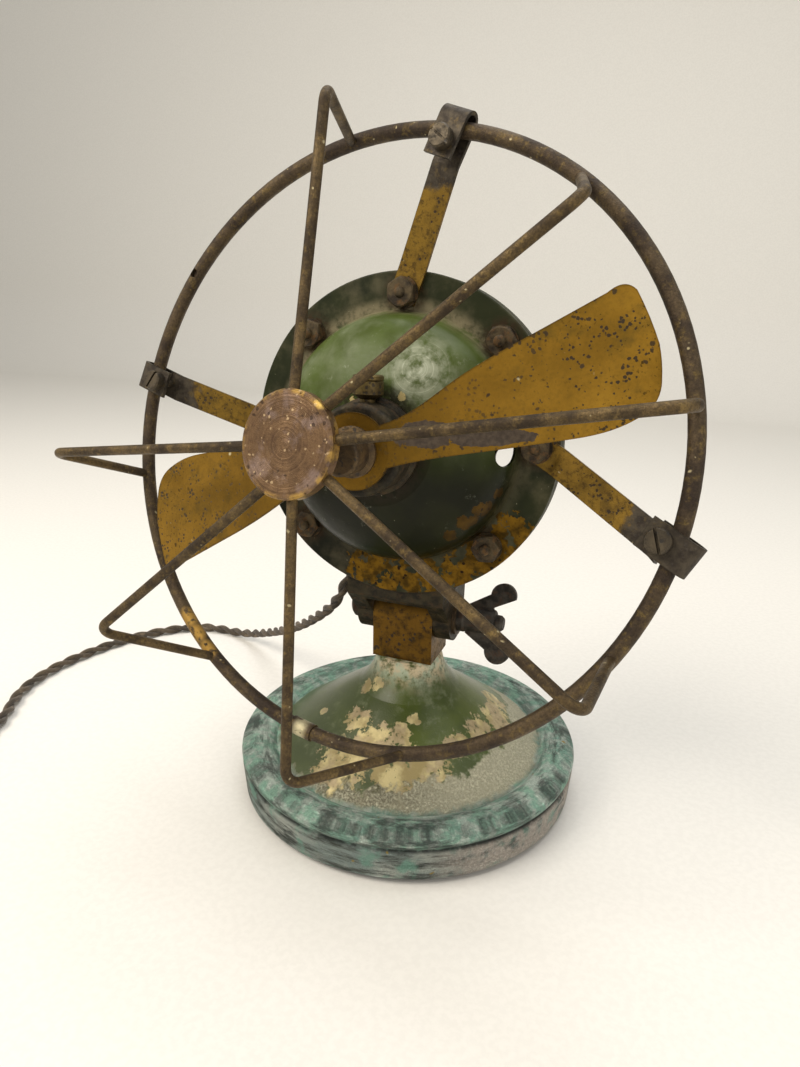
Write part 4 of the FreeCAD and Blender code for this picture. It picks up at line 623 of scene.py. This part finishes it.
def coil_points():
    """Turns wound clockwise, inward on the table and back outward on top, then the lead to the plug."""
    first, reach_0, height_0 = COIL_START
    per_turn, half_step, hump = 16, 1 / 12, 0.9
    count = round(COIL_TURNS * per_turn)
    swell = 1 / math.cos(math.pi / per_turn)
    points = []
    for i in range(1, count + 1):
        turns = COIL_TURNS * i / count
        reach, height = reach_0, height_0
        before = reach_0, height_0
        for at, wide, high in COIL_STEPS:
            share = min(1.0, max(0.0, (turns - at) / (2 * half_step) + 0.5))
            ease = share * share * (3 - 2 * share)
            reach += (wide - before[0]) * ease
            height += (high - before[1]) * ease + (hump * 4 * ease * (1 - ease) if at > 4 else 0)
            before = wide, high
        turn = math.radians(first) - turns * math.tau
        points.append((COIL_MIDDLE[0] + reach * swell * math.cos(turn),
                       COIL_MIDDLE[1] + reach * swell * math.sin(turn), height))
    x = COIL_MIDDLE[0] + reach * math.cos(turn)
    y = COIL_MIDDLE[1] + reach * math.sin(turn)
    points += [(x + far * math.sin(turn), y - far * math.cos(turn), high) for far, high in LEAD]
    return points


def flex_line():
    """The whole flex as one smooth curve, and the points read from it, in metres."""
    route = FLEX_ROUTE + coil_points()
    curve = bpy.data.curves.new("flex_line", "CURVE")
    curve.dimensions = "3D"
    line = curve.splines.new("NURBS")
    line.points.add(len(route) - 1)
    for spot, place in zip(line.points, route):
        spot.co = (place[0] * MM, place[1] * MM, place[2] * MM, 1)
    line.order_u = 3
    line.use_endpoint_u = True
    line.resolution_u = 10
    thing = bpy.data.objects.new("flex_line", curve)
    bpy.context.scene.collection.objects.link(thing)
    bpy.context.view_layer.update()
    mesh = bpy.data.meshes.new_from_object(thing)
    points = [v.co.copy() for v in mesh.vertices]
    bpy.data.objects.remove(thing)
    bpy.data.meshes.remove(mesh)
    return points


def evenly(points, gap):
    """The same line with points every gap metres."""
    runs = [0.0]
    for a, b in zip(points, points[1:]):
        runs.append(runs[-1] + (b - a).length)
    count = int(runs[-1] / gap)
    found, at = [], 0
    for i in range(count + 1):
        want = runs[-1] * i / count
        while at < len(runs) - 2 and runs[at + 1] < want:
            at += 1
        span = runs[at + 1] - runs[at]
        share = (want - runs[at]) / span if span else 0
        found.append(points[at].lerp(points[at + 1], share))
    return found


def carried_frames(points):
    """Side directions carried along the line without twist."""
    aheads = [(b - a).normalized() for a, b in zip(points, points[1:])]
    aheads.append(aheads[-1])
    side = aheads[0].cross(Vector((0, 0, 1))).normalized()
    frames = []
    for ahead in aheads:
        side = (side - ahead * side.dot(ahead)).normalized()
        frames.append((side, ahead.cross(side)))
    return frames


def twisted_flex(name, points, lay=25.0):
    """Two braided strands laid round each other, one turn every lay millimetres. The UV map counts
    threads round and along each strand."""
    frames = carried_frames(points)
    sides, threads, thread_length = 12, 6, 1.6
    verts, faces, uvs = [], [], []
    gap = (points[1] - points[0]).length / MM
    for strand in (0, 1):
        start = len(verts)
        middles = []
        for i, (p, (side, top)) in enumerate(zip(points, frames)):
            turn = math.tau * (i * gap / lay) + strand * math.pi
            middles.append(p + (side * math.cos(turn) + top * math.sin(turn)) * STRAND * 0.93 * MM)
        for i, p in enumerate(middles):
            ahead = (middles[min(i + 1, len(middles) - 1)] - middles[max(i - 1, 0)]).normalized()
            side = (frames[i][0] - ahead * frames[i][0].dot(ahead)).normalized()
            top = ahead.cross(side)
            for j in range(sides):
                turn = math.tau * j / sides
                verts.append(p + (side * math.cos(turn) + top * math.sin(turn)) * STRAND * MM)
        for i in range(len(points) - 1):
            here, there = i * gap / thread_length, (i + 1) * gap / thread_length
            for j in range(sides):
                k = (j + 1) % sides
                a, b = start + i * sides, start + (i + 1) * sides
                left, right = j * threads / sides, (j + 1) * threads / sides
                faces.append((a + j, a + k, b + k, b + j))
                uvs += [(left, here), (right, here), (right, there), (left, there)]
        last = start + (len(points) - 1) * sides
        faces.append(tuple(start + j for j in range(sides))[::-1])
        faces.append(tuple(last + j for j in range(sides)))
        uvs += [(0, 0)] * (2 * sides)
    thing = add_mesh(name, verts, faces)
    layer = thing.data.uv_layers.new(name="threads")
    for loop, uv in zip(layer.data, uvs):
        loop.uv = uv
    return thing


# A ring of points every so many millimetres.
FLEX_STEP = 1.2


def make_flex(cotton):
    points = evenly(flex_line(), FLEX_STEP * MM)
    flex = twisted_flex("twisted_flex", points)
    flex.data.materials.append(cotton)
    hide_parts("cord_tube", "cord_coil")
    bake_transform(flex)


# Put together ------------------------------------------------------------------------------------

# The guard's ring: its radius, its middle in the motor's frame, and how it is turned in the fan's.
RING_RADIUS = 124.5
RING_MIDDLE = (-1.67, -0.56, 28.3)
RING_TILT = math.radians(14.15)
RING_YAW = math.radians(-8.02)


def in_world(x, y, z):
    """A place in the guard's frame as a place in the fan's frame, and the guard's turn."""
    upright = math.pi / 2
    to_motor = Matrix.Rotation(upright - MOTOR_TILT, 3, "X")
    middle = Vector(MOTOR_MIDDLE) + to_motor @ Vector(RING_MIDDLE)
    turn = Matrix.Rotation(RING_YAW, 3, "Z") @ Matrix.Rotation(upright - RING_TILT, 3, "X")
    return middle + turn @ Vector((x, y, z)), turn


FERRULE_TURN = math.radians(263.3)
FERRULE = in_world(RING_RADIUS * math.cos(FERRULE_TURN), RING_RADIUS * math.sin(FERRULE_TURN), 0)[0]
# The streak runs along the front of the wire, low on the left.
RING_STREAK = [(-88, -62, 98, 4.5), (-82, -64.5, 92.5, 4.5), (-75, -67.5, 87, 4.5)]
DISC_MIDDLE, GUARD_TURN = in_world(-3.7, -3.8, 48)
DISC_AHEAD = GUARD_TURN @ Vector((0, 0, 1))
DISC_CHIP = in_world(9.5, 12.5, 51.6)[0]


def finish_nodes(cotton):
    """Every CAD node gets its finish."""
    enamel = motor_enamel()
    strap = strap_brass()
    block = aged_brass("cast_pivot_brass", "#6E501C", "#4E3915", "#1D150A", 3.0, bare=0.35, rough=0.4)
    dull = aged_brass("brown_cast_brass", "#6B573A", "#42372B", "#241C14", 2.5, bare=0.6, rough=0.5,
                      metal=0.7)
    screw = aged_brass("tarnished_screw_brass", "#5A5040", "#3A342B", "#211C16", 2.5, bare=0.6, rough=0.46,
                       metal=0.7)
    iron = brown_iron("browned_forged_iron", "#46413A", "#25211C", "#4A3422")
    yoke = brown_iron("blacked_cast_iron", "#3A3322", "#1D1910", "#4A361C", rough=0.5, grain=1.6)
    nuts = brown_iron("rusted_steel", "#574A33", "#2B2318", "#6A4A24", rough=0.6, metal=0.5)
    steel = brown_iron("oiled_turned_steel", "#8B8780", "#5D5852", "#5C4630", rough=0.35, metal=0.9,
                       grain=0.6)
    zinc = brown_iron("grey_cast_ballast", "#4E4C48", "#35332F", "#4E3C2A", rough=0.7, metal=0.3, grain=1.8)
    bronze = aged_brass("turned_bearing_bronze", "#A9783F", "#7F5930", "#4A3320", 4.0, bare=0.2)
    cup = aged_brass("oily_cup_brass", "#74643C", "#4F432E", "#241C12", 2.2, bare=0.5, rough=0.4)
    wire = drawn_wire("drawn_brass_spoke_wire", "#685638", "#3E3326", "#8E7644", 0.5)
    ring = drawn_wire("drawn_brass_ring_wire", "#5C4D38", "#3A3028", "#86703C", 0.5, FERRULE,
                      RING_STREAK)
    rubber = plain_finish("perished_rubber", "#3A302A", "#57493B", 4, 0.8)
    carbon = plain_finish("pressed_carbon", "#1A1A1B", "#262627", 2, 0.6)
    chosen = {
        "front_housing": enamel, "rear_housing": enamel, "base_shell": base_enamel(),
        "fan_blade": blade_brass(), "guard_ring": ring, "guard_disc": disc_brass(),
        "strap_top": strap, "strap_left": strap, "strap_right": strap, "neck_block": block,
        "yoke": yoke, "knuckle_bolt": iron, "wing_nut": iron, "clamp_washer": dull,
        "clamp_screws": screw, "housing_nuts": nuts, "housing_studs": nuts, "housing_washers": nuts,
        "front_bearing_boss": yoke, "rear_bearing_boss": yoke, "front_bush": bronze, "rear_bush": bronze,
        "oil_cups": cup, "blade_hub": dull, "hub_nut": dull, "shaft": steel, "thrust_collars": steel,
        "brush_spring_upper": steel, "brush_spring_lower": steel, "base_weight": zinc,
        "base_plate": plain_finish("painted_tin_plate", "#2E3026", "#3F3B2E", 12, 0.6, 0.2),
        "base_plate_screws": nuts, "neck_stud": steel, "neck_washer": steel, "neck_nut": steel,
        "base_feet": rubber,
        "field_core": laminations(), "armature_core": laminations(),
        "field_coils": wound_copper(), "armature_windings": wound_copper(),
        "commutator": plain_finish("drawn_copper_bars", "#B06A3C", "#7E4526", 3, 0.3, 0.95),
        "brush_holders": bronze,
        "brush_caps": plain_finish("moulded_black_vulcanite", "#1C1713", "#2A221B", 5, 0.4),
        "brush_upper": carbon, "brush_lower": carbon,
        "terminal_block": plain_finish("sawn_vulcanised_fibre", "#4A2218", "#351811", 4, 0.6),
        "cord_gland": plain_finish("moulded_black_bakelite", "#2B1C12", "#1C120C", 6, 0.4),
        "cord_plug": plain_finish("moulded_brown_bakelite", "#3A2114", "#27160D", 9, 0.28),
        "cord_tube": cotton, "cord_coil": cotton,
    }
    for name, thing in NODES.items():
        thing.data.materials.clear()
        thing.data.materials.append(wire if name.startswith("guard_spoke") else chosen[name])


make_camera()
make_studio()
cotton = cotton_cord()
make_flex(cotton)
finish_nodes(cotton)
